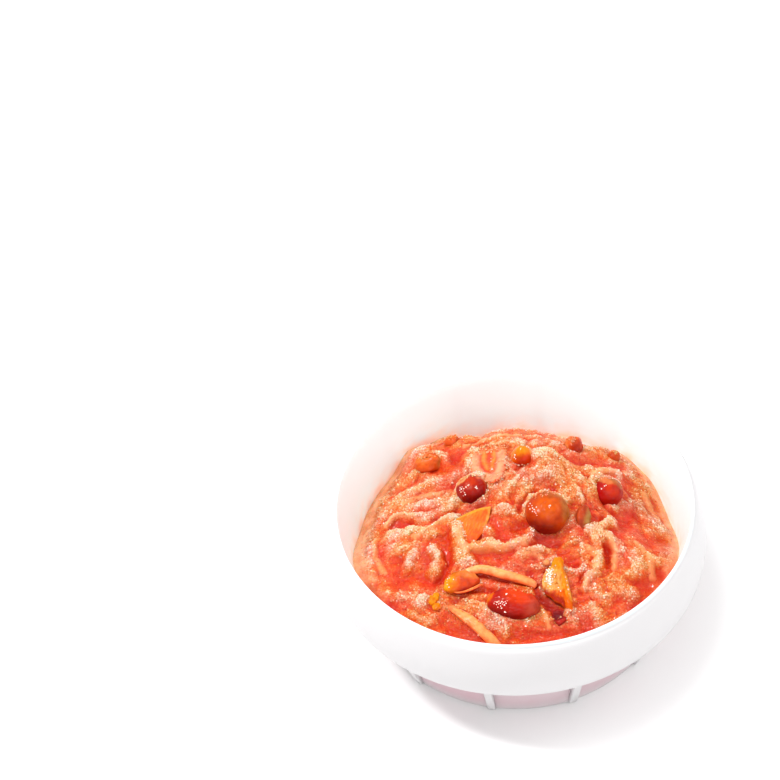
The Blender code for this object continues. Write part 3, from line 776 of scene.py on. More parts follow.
# smooth wet hollows: line, half width, depth, how bare
HOLLOWS = (
    (((-1, 31), (8, 30)), 1.6, 0.7, 0.8),
    (((12, 31), (15, 35)), 1.6, 0.7, 0.8),
    (((-13, 32), (-11, 36)), 1.7, 0.6, 0.8),
    (((24, 27), (27, 31)), 1.6, 0.6, 0.7),
    (((-18, -5), (-17, -9), (-17, -14), (-18.6, -19)), 1.7, 1.1, 1.0),
    (((-5, -4), (-3, -8), (2, -6)), 2.2, 0.9, 0.9),
    (((-9, -14.4), (-4, -15), (0, -17.6)), 1.4, 0.6, 0.8),
    (((-30, -12), (-30, -18), (-24, -18), (-20, -20)), 2.6, 0.6, 0.8),
    (((-30, 1.6), (-27, 1.0)), 1.8, 0.7, 0.9),
    (((-19.4, 18), (-16.4, 15.6), (-14, 20)), 2.8, 1.6, 1.0),
    (((-20.6, -0.4), (-15, 0.8)), 0.9, 0.7, 0.8),
    (((5, 3.6), (2.6, 0.6), (1.6, -2)), 0.7, 0.7, 0.9),
    (((19, -0.6), (21, -4), (22.4, -2.6)), 1.2, 0.9, 0.9),
    (((22, 2.6), (24.6, -0.2), (28, -2.4), (30, 2)), 2.2, 1.2, 1.0),
    (((29.6, -4), (33, -8), (36, -6)), 2.8, 0.6, 0.9),
    (((22.6, -11.6), (23, -17.6)), 0.9, 1.1, 1.0),
    (((27, -14.6), (27.6, -18)), 0.8, 0.7, 0.9),
    (((12.6, -15), (14.6, -17.4)), 1.7, 0.9, 0.9),
    (((6, -11), (10.4, -11.8)), 1.7, 1.1, 1.0),
    (((3.8, -20), (5, -25.6)), 1.1, 0.9, 1.0),
    (((16, -20.6), (15.8, -24)), 0.6, 0.6, 0.9),
    (((31, -22), (34.6, -18.6)), 2.3, 0.4, 0.9),
    (((-18, -31), (-14, -33.4), (-10, -36)), 1.8, 0.5, 0.9),
    (((0, -35), (8, -36), (15, -35)), 2.2, 0.5, 0.9),
    (((13, 15.4), (17, 14.6), (20, 16.4)), 2.2, 1.5, 1.0),
    (((28.6, 9), (30, 13)), 1.7, 0.8, 1.0),
    (((6, -27), (9, -29)), 1.6, 1.2, 1.0),
    (((-12, -23), (-6, -24.4)), 1.3, 0.8, 1.0),
    (((-33, -14), (-34.6, -8)), 1.4, 0.5, 0.7),
    (((1.6, 10.6), (4.4, 10.8)), 1.5, 1.3, 0.9),
)


# the filling rises around each mushroom: place, half sizes, height
MOUNDS = (
    ((8.4, -4.4), (7.2, 7.0), 0.9),
    ((-10.4, 5.6), (5.6, 5.2), 0.9),
    ((24.3, 6.2), (5.4, 5.0), 1.1),
    ((-1.0, -28.6), (8.4, 5.6), 1.2),
    ((17.4, -4.4), (3.2, 4.2), 0.8),
    ((-13.2, -21.8), (5.6, 3.6), 0.7),
    ((10.6, -31.0), (4.0, 2.6), 0.6),
    ((-21.7, 20.4), (5.6, 4.2), 1.2),
    ((16.2, 21.4), (4.2, 4.2), 1.1),
    ((26.9, 21.8), (3.4, 3.4), 0.8),
    ((-15.6, 28.0), (3.6, 3.6), 0.8),
    ((2.9, 13.9), (4.6, 4.6), 0.5),
)


# smooth strands of skin and stem worked into the paste: line, half width, height
STRANDS = (
    (((-13.6, -11.6), (-9, -12.6), (-3, -12.8), (2.4, -11.6)), 1.0, 0.9),
    (((18.4, -12.6), (20.4, -15.6), (19.4, -19), (16.4, -23.4)), 0.8, 0.8),
    (((23.6, -9.4), (24.8, -13), (24.4, -18)), 0.8, 0.7),
    (((-15.4, -1.4), (-20, -3.6), (-25, -6.4)), 0.9, 0.8),
    (((-33, 2.6), (-30.6, 4.8), (-26, 3.4)), 0.7, 0.7),
    (((21, 11), (23.6, 13.6), (28, 14.4)), 0.8, 0.8),
    (((-13.4, -6.6), (-13.8, -10.4), (-12.2, -13.6)), 0.9, 0.7),
    (((1, -15), (4.4, -14.2), (6.2, -16)), 0.9, 0.7),
    (((6.0, -30), (7.6, -33.4)), 0.6, 0.6),
    (((30.6, -9.4), (33.4, -14), (33.6, -19)), 0.8, 0.6),
    (((-36, -2), (-35.4, -9), (-33, -15)), 0.8, 0.6),
    (((-28.4, 8.4), (-23, 9.6), (-19, 8.6)), 0.9, 0.6),
    (((34, 12), (36.4, 6), (38.4, 0)), 0.9, 0.6),
    (((-12, 25), (-5, 27.6), (2, 27)), 1.0, 0.8),
)


# places where the paste is paler (plus) or deeper (minus): middle in mm, radius, amount
LIFT = (
    ((-26.0, 1.5), 7.5, 0.11),
    ((-13.0, 1.2), 4.5, 0.11),
    ((-36.3, -5.3), 5.5, 0.07),
    ((3.0, 7.7), 7.0, 0.08),
    ((3.8, 7.3), 2.8, -0.17),
    ((29.8, -2.3), 4.0, -0.03),
)
# painted shade: deep red places painted under and beside the mushrooms, where their shade falls: place, radius,
# strength
PAINTED_SHADE = (
    ((6.6, -9.6), 2.6, 0.75),
    ((10.5, -10.2), 2.2, 0.45),
    ((-8.6, 2.2), 1.8, 0.55),
    ((-6.6, 5.2), 1.2, 0.5),
    ((7.8, -28.0), 1.7, 1.0),
    ((5.6, -25.0), 1.6, 0.85),
    ((4.6, -22.6), 1.3, 0.55),
    ((6.6, -26.6), 1.3, 0.8),
    ((-14.0, -24.8), 1.6, 0.7),
    ((-10.0, -24.2), 1.4, 0.5),
    ((-6.2, -31.6), 1.4, 0.6),
    ((13.0, -30.4), 1.2, 0.7),
    ((9.6, -30.6), 2.4, 0.55),
    ((23.0, 3.4), 1.4, 0.45),
    ((4.4, -16.2), 1.2, 0.4),
    ((-2.0, -23.6), 1.1, 0.5),
    ((16.0, -3.6), 0.9, 0.4),
)


def line_distance(x, y, points):
    best = np.full(x.shape, 1e9)
    for (x0, y0), (x1, y1) in zip(points, points[1:]):
        ax, ay = x1 - x0, y1 - y0
        t = np.clip(((x - x0) * ax + (y - y0) * ay) / (ax * ax + ay * ay + 1e-9), 0, 1)
        best = np.minimum(best, (x - x0 - t * ax) ** 2 + (y - y0 - t * ay) ** 2)
    return np.sqrt(best)


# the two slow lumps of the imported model's noise, sampled once on a coarse grid
_axis = np.linspace(-46, 46, 93)
_lump = np.array([[0.7 * noise.noise(Vector((x * 0.11, y * 0.11, 3.7)))
                   + 0.5 * noise.noise(Vector((x * 0.25, y * 0.25, 9.1))) for x in _axis] for y in _axis])


def lookup(grid, x, y, low, step):
    """Bilinear value of a square grid."""
    top = grid.shape[0] - 1.001
    u, v = np.clip((x - low) / step, 0, top), np.clip((y - low) / step, 0, top)
    i, j = v.astype(int), u.astype(int)
    fu, fv = u - j, v - i
    return (grid[i, j] * (1 - fu) * (1 - fv) + grid[i, j + 1] * fu * (1 - fv)
            + grid[i + 1, j] * (1 - fu) * fv + grid[i + 1, j + 1] * fu * fv)


def broad_heap(x, y):
    """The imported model's heap, and how far the relief may rise at each place."""
    angle = np.degrees(np.arctan2(x, -y))
    edge = edge_z(angle)
    rim = wall_in(edge) - 0.3
    dx, dy = x - PEAK[0], y - PEAK[1]
    d = np.hypot(dx, dy) + 1e-6
    ux, uy = dx / d, dy / d
    power = 1.7 + BACK_FULLNESS * smooth(uy + 0.2)
    along = PEAK[0] * ux + PEAK[1] * uy
    reach = -along + np.sqrt(np.maximum(along * along - (PEAK[0] ** 2 + PEAK[1] ** 2) + rim * rim, 0.01))
    t = np.minimum(1.0, d / reach)
    z = edge + (PEAK[2] - edge) * (1.0 - t ** power)
    z = z + PEAK_BUMP[2] * np.exp(-(((x - PEAK_BUMP[0]) / BUMP_HALF[0]) ** 2
                                    + ((y - PEAK_BUMP[1]) / BUMP_HALF[1]) ** 2))
    share = np.hypot(x, y) / rim
    folds = 0.0
    for x0, y0, x1, y1, half, height in FOLDS:
        folds = folds + height * np.exp(-(line_distance(x, y, ((x0, y0), (x1, y1))) / half) ** 2)
    z = z + smooth((1.0 - share) / 0.14) * (folds + lookup(_lump, x, y, -46.0, 1.0))
    return z, smooth((1.0 - share) / 0.035)


def clods(x, y, size, seed):
    """Soft round lumps: height of the lump 0..1, and a number for each lump 0..1."""
    gx, gy = np.floor(x / size).astype(int), np.floor(y / size).astype(int)
    total, value = np.zeros(x.shape), np.zeros(x.shape)
    for i in (-1, 0, 1):
        for j in (-1, 0, 1):
            cx, cy = gx + i, gy + j
            h1 = _perm[(_perm[(cx + seed) & 255] + cy) & 255]
            h2 = _perm[(h1 + 57) & 255]
            h3 = _perm[(h2 + 91) & 255]
            px = (cx + 0.5 + 0.8 * (h1 / 255.0 - 0.5)) * size
            py = (cy + 0.5 + 0.8 * (h2 / 255.0 - 0.5)) * size
            w = np.exp(-14.0 * ((x - px) ** 2 + (y - py) ** 2) / (size * size))
            total += w
            value += w * h3 / 255.0
    height = 1.0 + np.log(np.maximum(total, 1e-9)) / 14.0 * 3.0
    return np.clip(height, -0.2, 1.1), value / np.maximum(total, 1e-9)


def blur(a, sigma):
    """Gaussian blur; sigma in grid steps."""
    r = int(3 * sigma) + 1
    k = np.exp(-0.5 * (np.arange(-r, r + 1) / sigma) ** 2)
    k /= k.sum()
    p = np.pad(a, r, mode='edge')
    p = sum(w * p[i:i + a.shape[0], :] for i, w in enumerate(k))
    return sum(w * p[:, i:i + a.shape[1]] for i, w in enumerate(k))


STEP = 0.16
LOW = -45.6
_side = np.arange(int(2 * -LOW / STEP) + 1) * STEP + LOW
GX, GY = np.meshgrid(_side, _side)


def build_heap():
    """Relief of the heap on a fine grid: height, tone (0 deep and red, 1 pale and grainy, partly painted light and
    shade), cream, painted shade under the mushrooms, painted glow beside the wall.
    """
    x, y = GX, GY
    z, calm = broad_heap(x, y)
    # wobble the drawn lines so that no ridge runs true
    wx = x + 1.2 * perlin(x * 0.22, y * 0.22, 5.0) + 0.7 * perlin(x * 0.6, y * 0.6, 8.0)
    wy = y + 1.2 * perlin(x * 0.22, y * 0.22, 15.0) + 0.7 * perlin(x * 0.6, y * 0.6, 18.0)
    rise, pale, bare = np.zeros(x.shape), np.zeros(x.shape), np.zeros(x.shape)
    for points, half, height, tone in RIDGES:
        q = line_distance(wx, wy, points) / half
        rise = np.maximum(rise, height * 1.2 * np.clip(1 - (q / 1.45) ** 2, 0, 1) ** 0.8)
        pale = np.maximum(pale, tone * np.exp(-(q / 1.2) ** 2))
    for points, half, depth, tone in HOLLOWS:
        q = line_distance(wx, wy, points) / half
        rise = rise - depth * 1.1 * np.exp(-q * q)
        bare = np.maximum(bare, tone * np.exp(-(q / 1.05) ** 4))

    for at, half, height in MOUNDS:
        q = ((wx - at[0]) / half[0]) ** 2 + ((wy - at[1]) / half[1]) ** 2
        rise = rise + height * np.exp(-q * q)

    # smears that run out from the top at the sides and across it in front
    dx, dy = x - PEAK[0], y - PEAK[1]
    d = np.hypot(dx, dy)
    phi = np.arctan2(dx, -dy)
    across = smooth((50.0 - np.abs(np.degrees(phi))) / 30.0)
    cx, cy = np.cos(phi), np.sin(phi)
    sway = 0.8 * perlin(x * 0.09, y * 0.09, 50.0)
    radial = perlin(cx * 3.4 + 1.6 * sway, cy * 3.4, d * 0.08)
    radial2 = perlin(cx * 8.0 + sway, cy * 8.0 + 2.0 * sway, d * 0.16 + 7)
    arcs = perlin(cx * 1.6 + sway, cy * 1.6, d * 0.26 + 3)
    arcs2 = perlin(cx * 3.2, cy * 3.2 + sway, d * 0.60 + 9)
    big = np.minimum(np.abs(radial * (1 - across) + arcs * across) * 3.0, 1.0)
    small = np.minimum(np.abs(radial2 * (1 - across) + arcs2 * across) * 3.0, 1.0)
    rise = rise + (0.95 * big - 0.55) * smooth((d - 5.0 * smooth(dy / 6.0)) / 9.0) + (0.36 * small - 0.18) * smooth((d - 13.0) / 11.0)

    # lumps of roe that hold together
    c1, v1 = clods(wx, wy, 4.6, 3)
    c2, v2 = clods(wx + 0.4 * perlin(x * 1.1, y * 1.1, 4.0), wy, 1.9, 11)
    lumpy = np.clip(0.35 + 0.8 * pale - 0.9 * bare + 0.9 * perlin(x * 0.16, y * 0.16, 71.0), 0, 1)
    rise = rise + lumpy * (0.60 * c1 * (0.4 + v1) + 0.32 * c2 * (0.3 + v2)) - 0.27 * lumpy

    # smooth stringy strands laid in the paste
    cream = np.zeros(x.shape)
    for points, half, height in STRANDS:
        q = line_distance(wx * 0.6 + x * 0.4, wy * 0.6 + y * 0.4, points) / half
        rise = rise + 0.7 * height * np.sqrt(np.clip(1 - q * q, 0, 1))
        cream = np.maximum(cream, 0.75 * np.clip(1.15 - q, 0, 1) ** 0.5)
    # painted shade under and beside the mushrooms
    painted_shade = np.zeros(x.shape)
    for at, radius, share in PAINTED_SHADE:
        painted_shade = np.maximum(painted_shade, share * np.exp(-((wx - at[0]) ** 2 + (wy - at[1]) ** 2) / radius ** 2))

    angle = np.degrees(np.arctan2(x, -y))
    side = smooth((np.abs(angle) - 50.0) / 30.0)
    gap = wall_in(edge_z(angle)) - np.hypot(x, y)
    band = smooth((5.0 - gap + 2.2 * perlin(x * 0.28, y * 0.28, 60.0)) / 2.5) * side
    streak = 0.5 + 1.4 * perlin(angle * 0.14, gap * 0.25, 62.0)
    cream = np.maximum(cream, 0.06 * band * np.clip(streak, 0.10, 1.0))
    # painted light: beside the white wall the paste is painted a brighter, paler orange. It stands in for light coming
    # through the thin paste and lifts the shade the wall casts there
    reach = 3.2 + 1.4 * smooth((-22.0 - x) / 12.0)
    painted_glow = smooth((reach - gap + 2.0 * perlin(x * 0.35, y * 0.35, 64.0)) / 3.0) * side
    painted_glow = painted_glow * np.clip(0.66 + 1.1 * perlin(angle * 0.24, gap * 0.22, 66.0), 0.55, 0.88)
    z = z + calm * rise
    clump = fbm(x * 0.42, y * 0.42, 2.0)
    grain = np.clip(0.35 + pale + 0.6 * clump - bare, 0, 1) * (1 - cream)
    z = z + calm * (0.24 * perlin(x * 0.8, y * 0.8, 21.0) * (0.35 + grain)
                    + 0.18 * perlin(x * 1.9, y * 1.9, 31.0) * (0.12 + grain))
    # what stands high is painted pale and what lies low deep red: partly the paste's own colour, grainy on the ridges
    # and wet in the hollows, and partly painted shade in the hollows
    local = z - blur(z, 1.0 / STEP)
    wide = z - blur(z, 2.6 / STEP)
    speck = perlin(x * 1.3, y * 1.3, 41.0)
    back = smooth((np.abs(np.degrees(np.arctan2(x, -y))) - 50.0) / 35.0)
    # painted light and shade: near the wall the paste is painted paler at the sides and back, where the wall shades it,
    # and deeper at the front, where the light is strong
    painted_rim_light_and_shade = (smooth((0.50 - calm) / 0.40) + 0.55 * smooth((np.hypot(x, y) - 35.0) / 5.0)) * (1.9 * back - 1.1) * (1.0 + 0.8 * smooth((-10.0 - x) / 22.0) * back)
    tone = 0.42 + 0.22 * clump + 0.26 * speck + 0.40 * local + 0.20 * wide + 0.10 * (v1 - 0.5) + 0.23 * painted_rim_light_and_shade
    tone = tone * (1 - 0.45 * bare) + (0.92 - tone) * 0.50 * pale * (1 - 0.6 * bare)
    for at, radius, share in LIFT:
        tone = tone + share * np.exp(-((wx - at[0]) ** 2 + (wy - at[1]) ** 2) / radius ** 2)
    return z, np.clip(tone, 0.0, 1.0), np.clip(cream, 0, 1), np.clip(painted_shade, 0, 1), np.clip(painted_glow, 0, 1)


HEAP_Z, HEAP_TONE, HEAP_CREAM, HEAP_PAINTED_SHADE, HEAP_PAINTED_GLOW = build_heap()


def heap(x, y):
    return lookup(HEAP_Z, x, y, LOW, STEP), lookup(HEAP_TONE, x, y, LOW, STEP), lookup(HEAP_CREAM, x, y, LOW, STEP)


def make_core():
    n = 410
    g = np.linspace(-1, 1, n)
    U, V = np.meshgrid(g, g)
    X = U * np.sqrt(1 - V * V / 2)
    Y = V * np.sqrt(1 - U * U / 2)
    angle = np.degrees(np.arctan2(X, -Y))
    rim = wall_in(edge_z(angle)) + 0.12
    x, y = X * rim, Y * rim
    z, tone, cream = heap(x, y)
    painted_shade = lookup(HEAP_PAINTED_SHADE, x, y, LOW, STEP)
    painted_glow = lookup(HEAP_PAINTED_GLOW, x, y, LOW, STEP)
    verts = np.stack([x, y, z], -1)
    half = n // 2
    # the filling in two bodies that share one row, each closed down the wall and over the floor
    for name, rows in (("mentaiko_front", slice(0, half + 1)), ("mentaiko_back", slice(half, n))):
        part = verts[rows]
        m = part.shape[0]
        flat = part.reshape(-1, 3)
        top = grid_faces(m, n, wrap=False)
        ring = np.concatenate([np.arange(n), np.arange(1, m) * n + n - 1,
                               (m - 1) * n + np.arange(n - 2, -1, -1), np.arange(m - 2, 0, -1) * n])
        rx, ry, zs = flat[ring, 0], flat[ring, 1], flat[ring, 2]
        rr = np.hypot(rx, ry)
        outer = rr > wall_in(zs) - 1.0
        layers = []
        for f, inset in ((0.5, -0.12), (0.0, -0.2), (-1.0, 0.0)):
            zz = 4.0 + (zs - 4.0) * f if f >= 0 else np.full(len(ring), 1.75)
            r = (wall_in(zz) + inset) if f >= 0 else np.full(len(ring), 35.2)
            r = np.where(outer, r, np.minimum(rr, 35.2))
            safe = np.maximum(rr, 1e-6)
            layers.append(np.stack([rx / safe * r, ry / safe * r, zz], -1))
        base = len(flat)
        count = len(ring)
        faces, prev = [top], ring
        j = np.arange(count)
        jn = (j + 1) % count
        for k, layer in enumerate(layers):
            flat = np.concatenate([flat, layer])
            cur = base + k * count + j
            faces.append(np.stack([prev[jn], prev[j], cur[j], cur[jn]], -1))
            prev = cur
        middle = layers[-1].mean(0)
        flat = np.concatenate([flat, [middle]])
        faces.append(np.stack([prev[j], np.full(count, len(flat) - 1), prev[jn]], -1))
        core = new_mesh(name, flat, faces, mat_paste)
        for attribute, values, spare in (("tone", tone, 0.25), ("cream", cream, 0.0), ("painted_shade", painted_shade, 0.0),
                                         ("painted_glow", painted_glow, 0.0)):
            full = np.full(len(flat), spare)
            full[:m * n] = values[rows].reshape(-1)
            set_value(core, attribute, full)
        ride(core, "roe_paste", "mentaiko")


make_core()


# ================================================================ loose roe on the core
def ico():
    p = (1 + 5 ** 0.5) / 2
    v = np.array([(-1, p, 0), (1, p, 0), (-1, -p, 0), (1, -p, 0), (0, -1, p), (0, 1, p),
                  (0, -1, -p), (0, 1, -p), (p, 0, -1), (p, 0, 1), (-p, 0, -1), (-p, 0, 1)], float)
    v /= np.linalg.norm(v[0])
    f = np.array([(0, 11, 5), (0, 5, 1), (0, 1, 7), (0, 7, 10), (0, 10, 11), (1, 5, 9), (5, 11, 4),
                  (11, 10, 2), (10, 7, 6), (7, 1, 8), (3, 9, 4), (3, 4, 2), (3, 2, 6), (3, 6, 8),
                  (3, 8, 9), (4, 9, 5), (2, 4, 11), (6, 2, 10), (8, 6, 7), (9, 8, 1)])
    return v, f


ICO_V, ICO_F = ico()


def turns(count):
    """Random rotations."""
    q = rng.normal(size=(count, 4))
    q /= np.linalg.norm(q, axis=1)[:, None]
    w, x, y, z = q.T
    return np.stack([
        np.stack([1 - 2 * (y * y + z * z), 2 * (x * y - z * w), 2 * (x * z + y * w)], -1),
        np.stack([2 * (x * y + z * w), 1 - 2 * (x * x + z * z), 2 * (y * z - x * w)], -1),
        np.stack([2 * (x * z - y * w), 2 * (y * z + x * w), 1 - 2 * (x * x + y * y)], -1)], 1)


def beads(name, centres, radii, mat, tone=None, stretch=None):
    """Many small round grains joined into one mesh."""
    count = len(centres)
    rot = turns(count)
    shape = ICO_V[None] * (1.0 + rng.normal(0, 0.05, (count, 1, 3)))
    v = np.einsum('nij,nkj->nki', rot, shape)
    if stretch is not None:
        v = v * stretch[:, None, :]
    v = v * np.asarray(radii)[:, None, None] + np.asarray(centres)[:, None, :]
    f = ICO_F[None] + (np.arange(count) * 12)[:, None, None]
    obj = new_mesh(name, v.reshape(-1, 3), f.reshape(-1, 3), mat)
    if tone is not None:
        set_value(obj, "tone", np.repeat(tone, 12))
    return obj


def heap_normal(x, y, step=0.25):
    z0 = heap(x, y)[0]
    zx = heap(x + step, y)[0]
    zy = heap(x, y + step)[0]
    n = np.stack([-(zx - z0) / step, -(zy - z0) / step, np.ones_like(z0)], -1)
    return n / np.linalg.norm(n, axis=-1)[:, None]


KEEP_OUT = []      # centre and half sizes of mushroom pieces, so that no egg is wasted inside one


def scatter(spacing, limit=9900):
    """Jittered hexagonal lattice over the heap."""
    rows = int(92 / (spacing * 0.866))
    cols = int(92 / spacing)
    j, i = np.meshgrid(np.arange(cols), np.arange(rows))
    x = (j + 0.5 * (i % 2)) * spacing - 46
    y = i * spacing * 0.866 - 46
    x = x.ravel() + rng.normal(0, spacing * 0.17, x.size)
    y = y.ravel() + rng.normal(0, spacing * 0.17, y.size)
    angle = np.degrees(np.arctan2(x, -y))
    keep = np.hypot(x, y) < wall_in(edge_z(angle)) - 0.35
    x, y = x[keep], y[keep]
    return x, y


def outside_pieces(x, y, z):
    keep = np.ones(len(x), bool)
    for c, h in KEEP_OUT:
        q = ((x - c[0]) / h[0]) ** 2 + ((y - c[1]) / h[1]) ** 2 + ((z - c[2]) / h[2]) ** 2
        keep &= q > 0.86
    return keep


def grains(name, x, y, z, tone, sizes, lifts, brighten, spread, limit=9900):
    """Loose grains of roe on the heap."""
    n = heap_normal(x, y)
    radius = rng.uniform(sizes[0], sizes[1], len(x))
    centres = np.stack([x, y, z], -1) + n * rng.uniform(lifts[0], lifts[1], len(x))[:, None]
    colour = np.clip(tone + rng.normal(brighten, spread, len(x)), 0.0, 1.0)
    part = rng.permutation(len(x))[:limit]
    obj = beads(name, centres[part], radius[part], mat_eggs, colour[part])
    ride(obj, "roe_paste", "mentaiko")
    return len(part)


def back_bare(x, y):
    """1 in front and a little less towards the back, where fewer loose grains lie."""
    return 1.0 - 0.42 * smooth((y - 15.0) / 12.0)


def shore_bare(x, y):
    """0 beside the wall at the sides and back, where the paste is smooth, and 1 elsewhere."""
    angle = np.degrees(np.arctan2(x, -y))
    gap = wall_in(edge_z(angle)) - np.hypot(x, y) + 1.5 * perlin(x * 0.3, y * 0.3, 77.0)
    front = smooth((62.0 - np.abs(angle)) / 20.0)
    return np.maximum(smooth((gap - 0.8 - 1.2 * smooth((-22.0 - x) / 12.0)) / 3.6), front)


def make_roe():
    # grains half sunk in the paste wherever it is pale; bare hollows keep only a few
    x, y = scatter(0.63)
    z, tone, cream = heap(x, y)
    painted_shade = lookup(HEAP_PAINTED_SHADE, x, y, LOW, STEP)
    chance = np.clip(0.26 + (tone - 0.28) / 0.26, 0.26, 1.0) * (1 - 0.85 * cream) * (1 - painted_shade) * shore_bare(x, y) * back_bare(x, y)
    keep = (rng.random(len(x)) < chance) & outside_pieces(x, y, z)
    x, y, z, tone = x[keep], y[keep], z[keep], tone[keep]
    side = rng.random(len(x)) < 0.5
    a = grains("roe_sunk_1", x[side], y[side], z[side], tone[side], (0.20, 0.35), (-0.27, -0.06), 0.0, 0.15)
    b = grains("roe_sunk_2", x[~side], y[~side], z[~side], tone[~side], (0.20, 0.35), (-0.27, -0.06), 0.0, 0.15)
    # loose grains standing proud on the ridges
    x, y = scatter(0.86)
    z, tone, cream = heap(x, y)
    chance = np.clip((tone - 0.50) / 0.40, 0.0, 0.85) * (1 - cream) * shore_bare(x, y) * back_bare(x, y)
    keep = (rng.random(len(x)) < chance) & outside_pieces(x, y, z)
    c = grains("roe_loose", x[keep], y[keep], z[keep], tone[keep], (0.20, 0.31), (-0.12, 0.08), 0.03, 0.14, 6500)
    # grains that stuck to the mushrooms
    if CRUMBS:
        at = np.concatenate([p for p, _ in CRUMBS])
        col = np.concatenate([np.full(len(p), t) for p, t in CRUMBS])
        obj = beads("roe_stuck", at, rng.uniform(0.16, 0.30, len(at)), mat_eggs,
                    np.clip(0.85 * col + rng.normal(0, 0.14, len(at)), 0, 1))
        ride(obj, "roe_paste", "mentaiko")
    # near-white drops of brine that catch the light, their pale colour partly a painted glint, also between the grains
    # on the ridges
    x, y = scatter(0.62)
    z, tone, cream = heap(x, y)
    patch = perlin(x * 0.55, y * 0.55, 88.0)
    keep = (tone > 0.55) & (patch > 0.24) & (rng.random(len(x)) < 0.34 * back_bare(x, y)) & outside_pieces(x, y, z) & (shore_bare(x, y) > 0.9)
    n = heap_normal(x[keep], y[keep])
    DROPS.append((np.stack([x[keep], y[keep], z[keep]], -1) + n * rng.uniform(0.02, 0.16, keep.sum())[:, None])[:2600])
    if DROPS:
        at = np.concatenate(DROPS)
        obj = beads("brine_drops", at, rng.uniform(0.12, 0.24, len(at)), mat_drop,
                    stretch=rng.uniform(0.7, 1.35, (len(at), 3)))
        ride(obj, "roe_paste", "mentaiko")
    print("grains", a, b, c, sum(len(p) for p, _ in CRUMBS))


# ================================================================ mushrooms
def unit(v):
    v = np.asarray(v, float)
    return v / np.linalg.norm(v)


def frame_from(axis, spin=0.0):
    m = Vector((0, 0, 1)).rotation_difference(Vector(axis).normalized()).to_matrix()
    m = m @ Matrix.Rotation(math.radians(spin), 3, 'Z')
    return np.array(m)


def button(name, centre, radius, height, axis, hollow=0.45, stretch=1.0, spin=0.0, seed=0.0,
           dent=0.05, paint=None, mat=None, rows=44, cols=72, point=0.0):
    """A nameko cap: a dome with an inrolled rim and a shallow underside."""
    t = np.linspace(0, math.pi, rows + 1)
    a = np.arange(cols) * 2 * math.pi / cols
    T, A = np.meshgrid(t[1:-1], a, indexing='ij')
    ct, st = np.cos(T), np.sin(T)
    r = st ** 0.92
    zz = np.where(ct > 0, ct, ct * hollow)
    # rolled rim just below the widest line
    roll = np.exp(-((T - 1.72) / 0.16) ** 2) * 0.03
    r = (r + roll) * (1.0 - point * smooth((ct - 0.1) / 0.9))
    local = np.stack([r * np.cos(A), r * np.sin(A), zz], -1)
    local = np.concatenate([[[0, 0, 1.0]], local.reshape(-1, 3), [[0, 0, -hollow * 0.9]]])
    bump = 1.0 + dent * fbm(local[:, 0] * 1.3 + seed, local[:, 1] * 1.3, local[:, 2] * 1.3 + seed, 2) * 1.6
    shaped = local * bump[:, None] * np.array([radius * stretch, radius, height])
    m = frame_from(axis, spin)
    world_pts = shaped @ m.T + np.asarray(centre)
    n = rows - 1
    quads = grid_faces(n, cols, True, 1)[:, ::-1]
    j = np.arange(cols)
    jn = (j + 1) % cols
    top = np.stack([np.zeros(cols, int), 1 + j, 1 + jn], -1)
    low = 1 + (n - 1) * cols
    last = len(local) - 1
    bottom = np.stack([np.full(cols, last), low + jn, low + j], -1)
    obj = new_mesh(name, world_pts, [quads, np.concatenate([top, bottom])], mat or mat_skin)
    dirs = (local / np.linalg.norm(local, axis=1)[:, None]) @ m.T
    h = local[:, 2]
    set_color(obj, paint(dirs, h, world_pts))
    KEEP_OUT.append((np.asarray(centre), np.array([radius * (1 + stretch) / 2, radius, height])))
    return obj


def blend(a, b, t):
    t = np.clip(np.asarray(t), 0, 1)[:, None]
    return np.asarray(a) * (1 - t) + np.asarray(b) * t


def loft(name, rings, mat, closed=True):
    """Skin over a row of closed loops with equal point counts."""
    rings = np.asarray(rings, float)
    n, m, _ = rings.shape
    verts = np.concatenate([rings.reshape(-1, 3), [rings[0].mean(0)], [rings[-1].mean(0)]])
    quads = grid_faces(n, m)
    j = np.arange(m)
    jn = (j + 1) % m
    caps = np.concatenate([np.stack([np.full(m, n * m), jn, j], -1),
                           np.stack([np.full(m, n * m + 1), (n - 1) * m + j, (n - 1) * m + jn], -1)])
    obj = new_mesh(name, verts, [quads, caps], mat)
    bm = bmesh.new()
    bm.from_mesh(obj.data)
    bmesh.ops.recalc_face_normals(bm, faces=bm.faces)
    bm.to_mesh(obj.data)
    bm.free()
    return obj, verts


def spline(points, count):
    """Smooth line through the points (Catmull-Rom), evenly cut."""
    p = np.asarray(points, float)
    p = np.concatenate([[2 * p[0] - p[1]], p, [2 * p[-1] - p[-2]]])
    out = []
    for t in np.linspace(0, len(points) - 1 - 1e-9, count):
        k = int(t)
        f = t - k
        a, b, c, d = p[k], p[k + 1], p[k + 2], p[k + 3]
        out.append(0.5 * (2 * b + (c - a) * f + (2 * a - 5 * b + 4 * c - d) * f * f
                          + (3 * b - a - 3 * c + d) * f ** 3))
    return np.array(out)


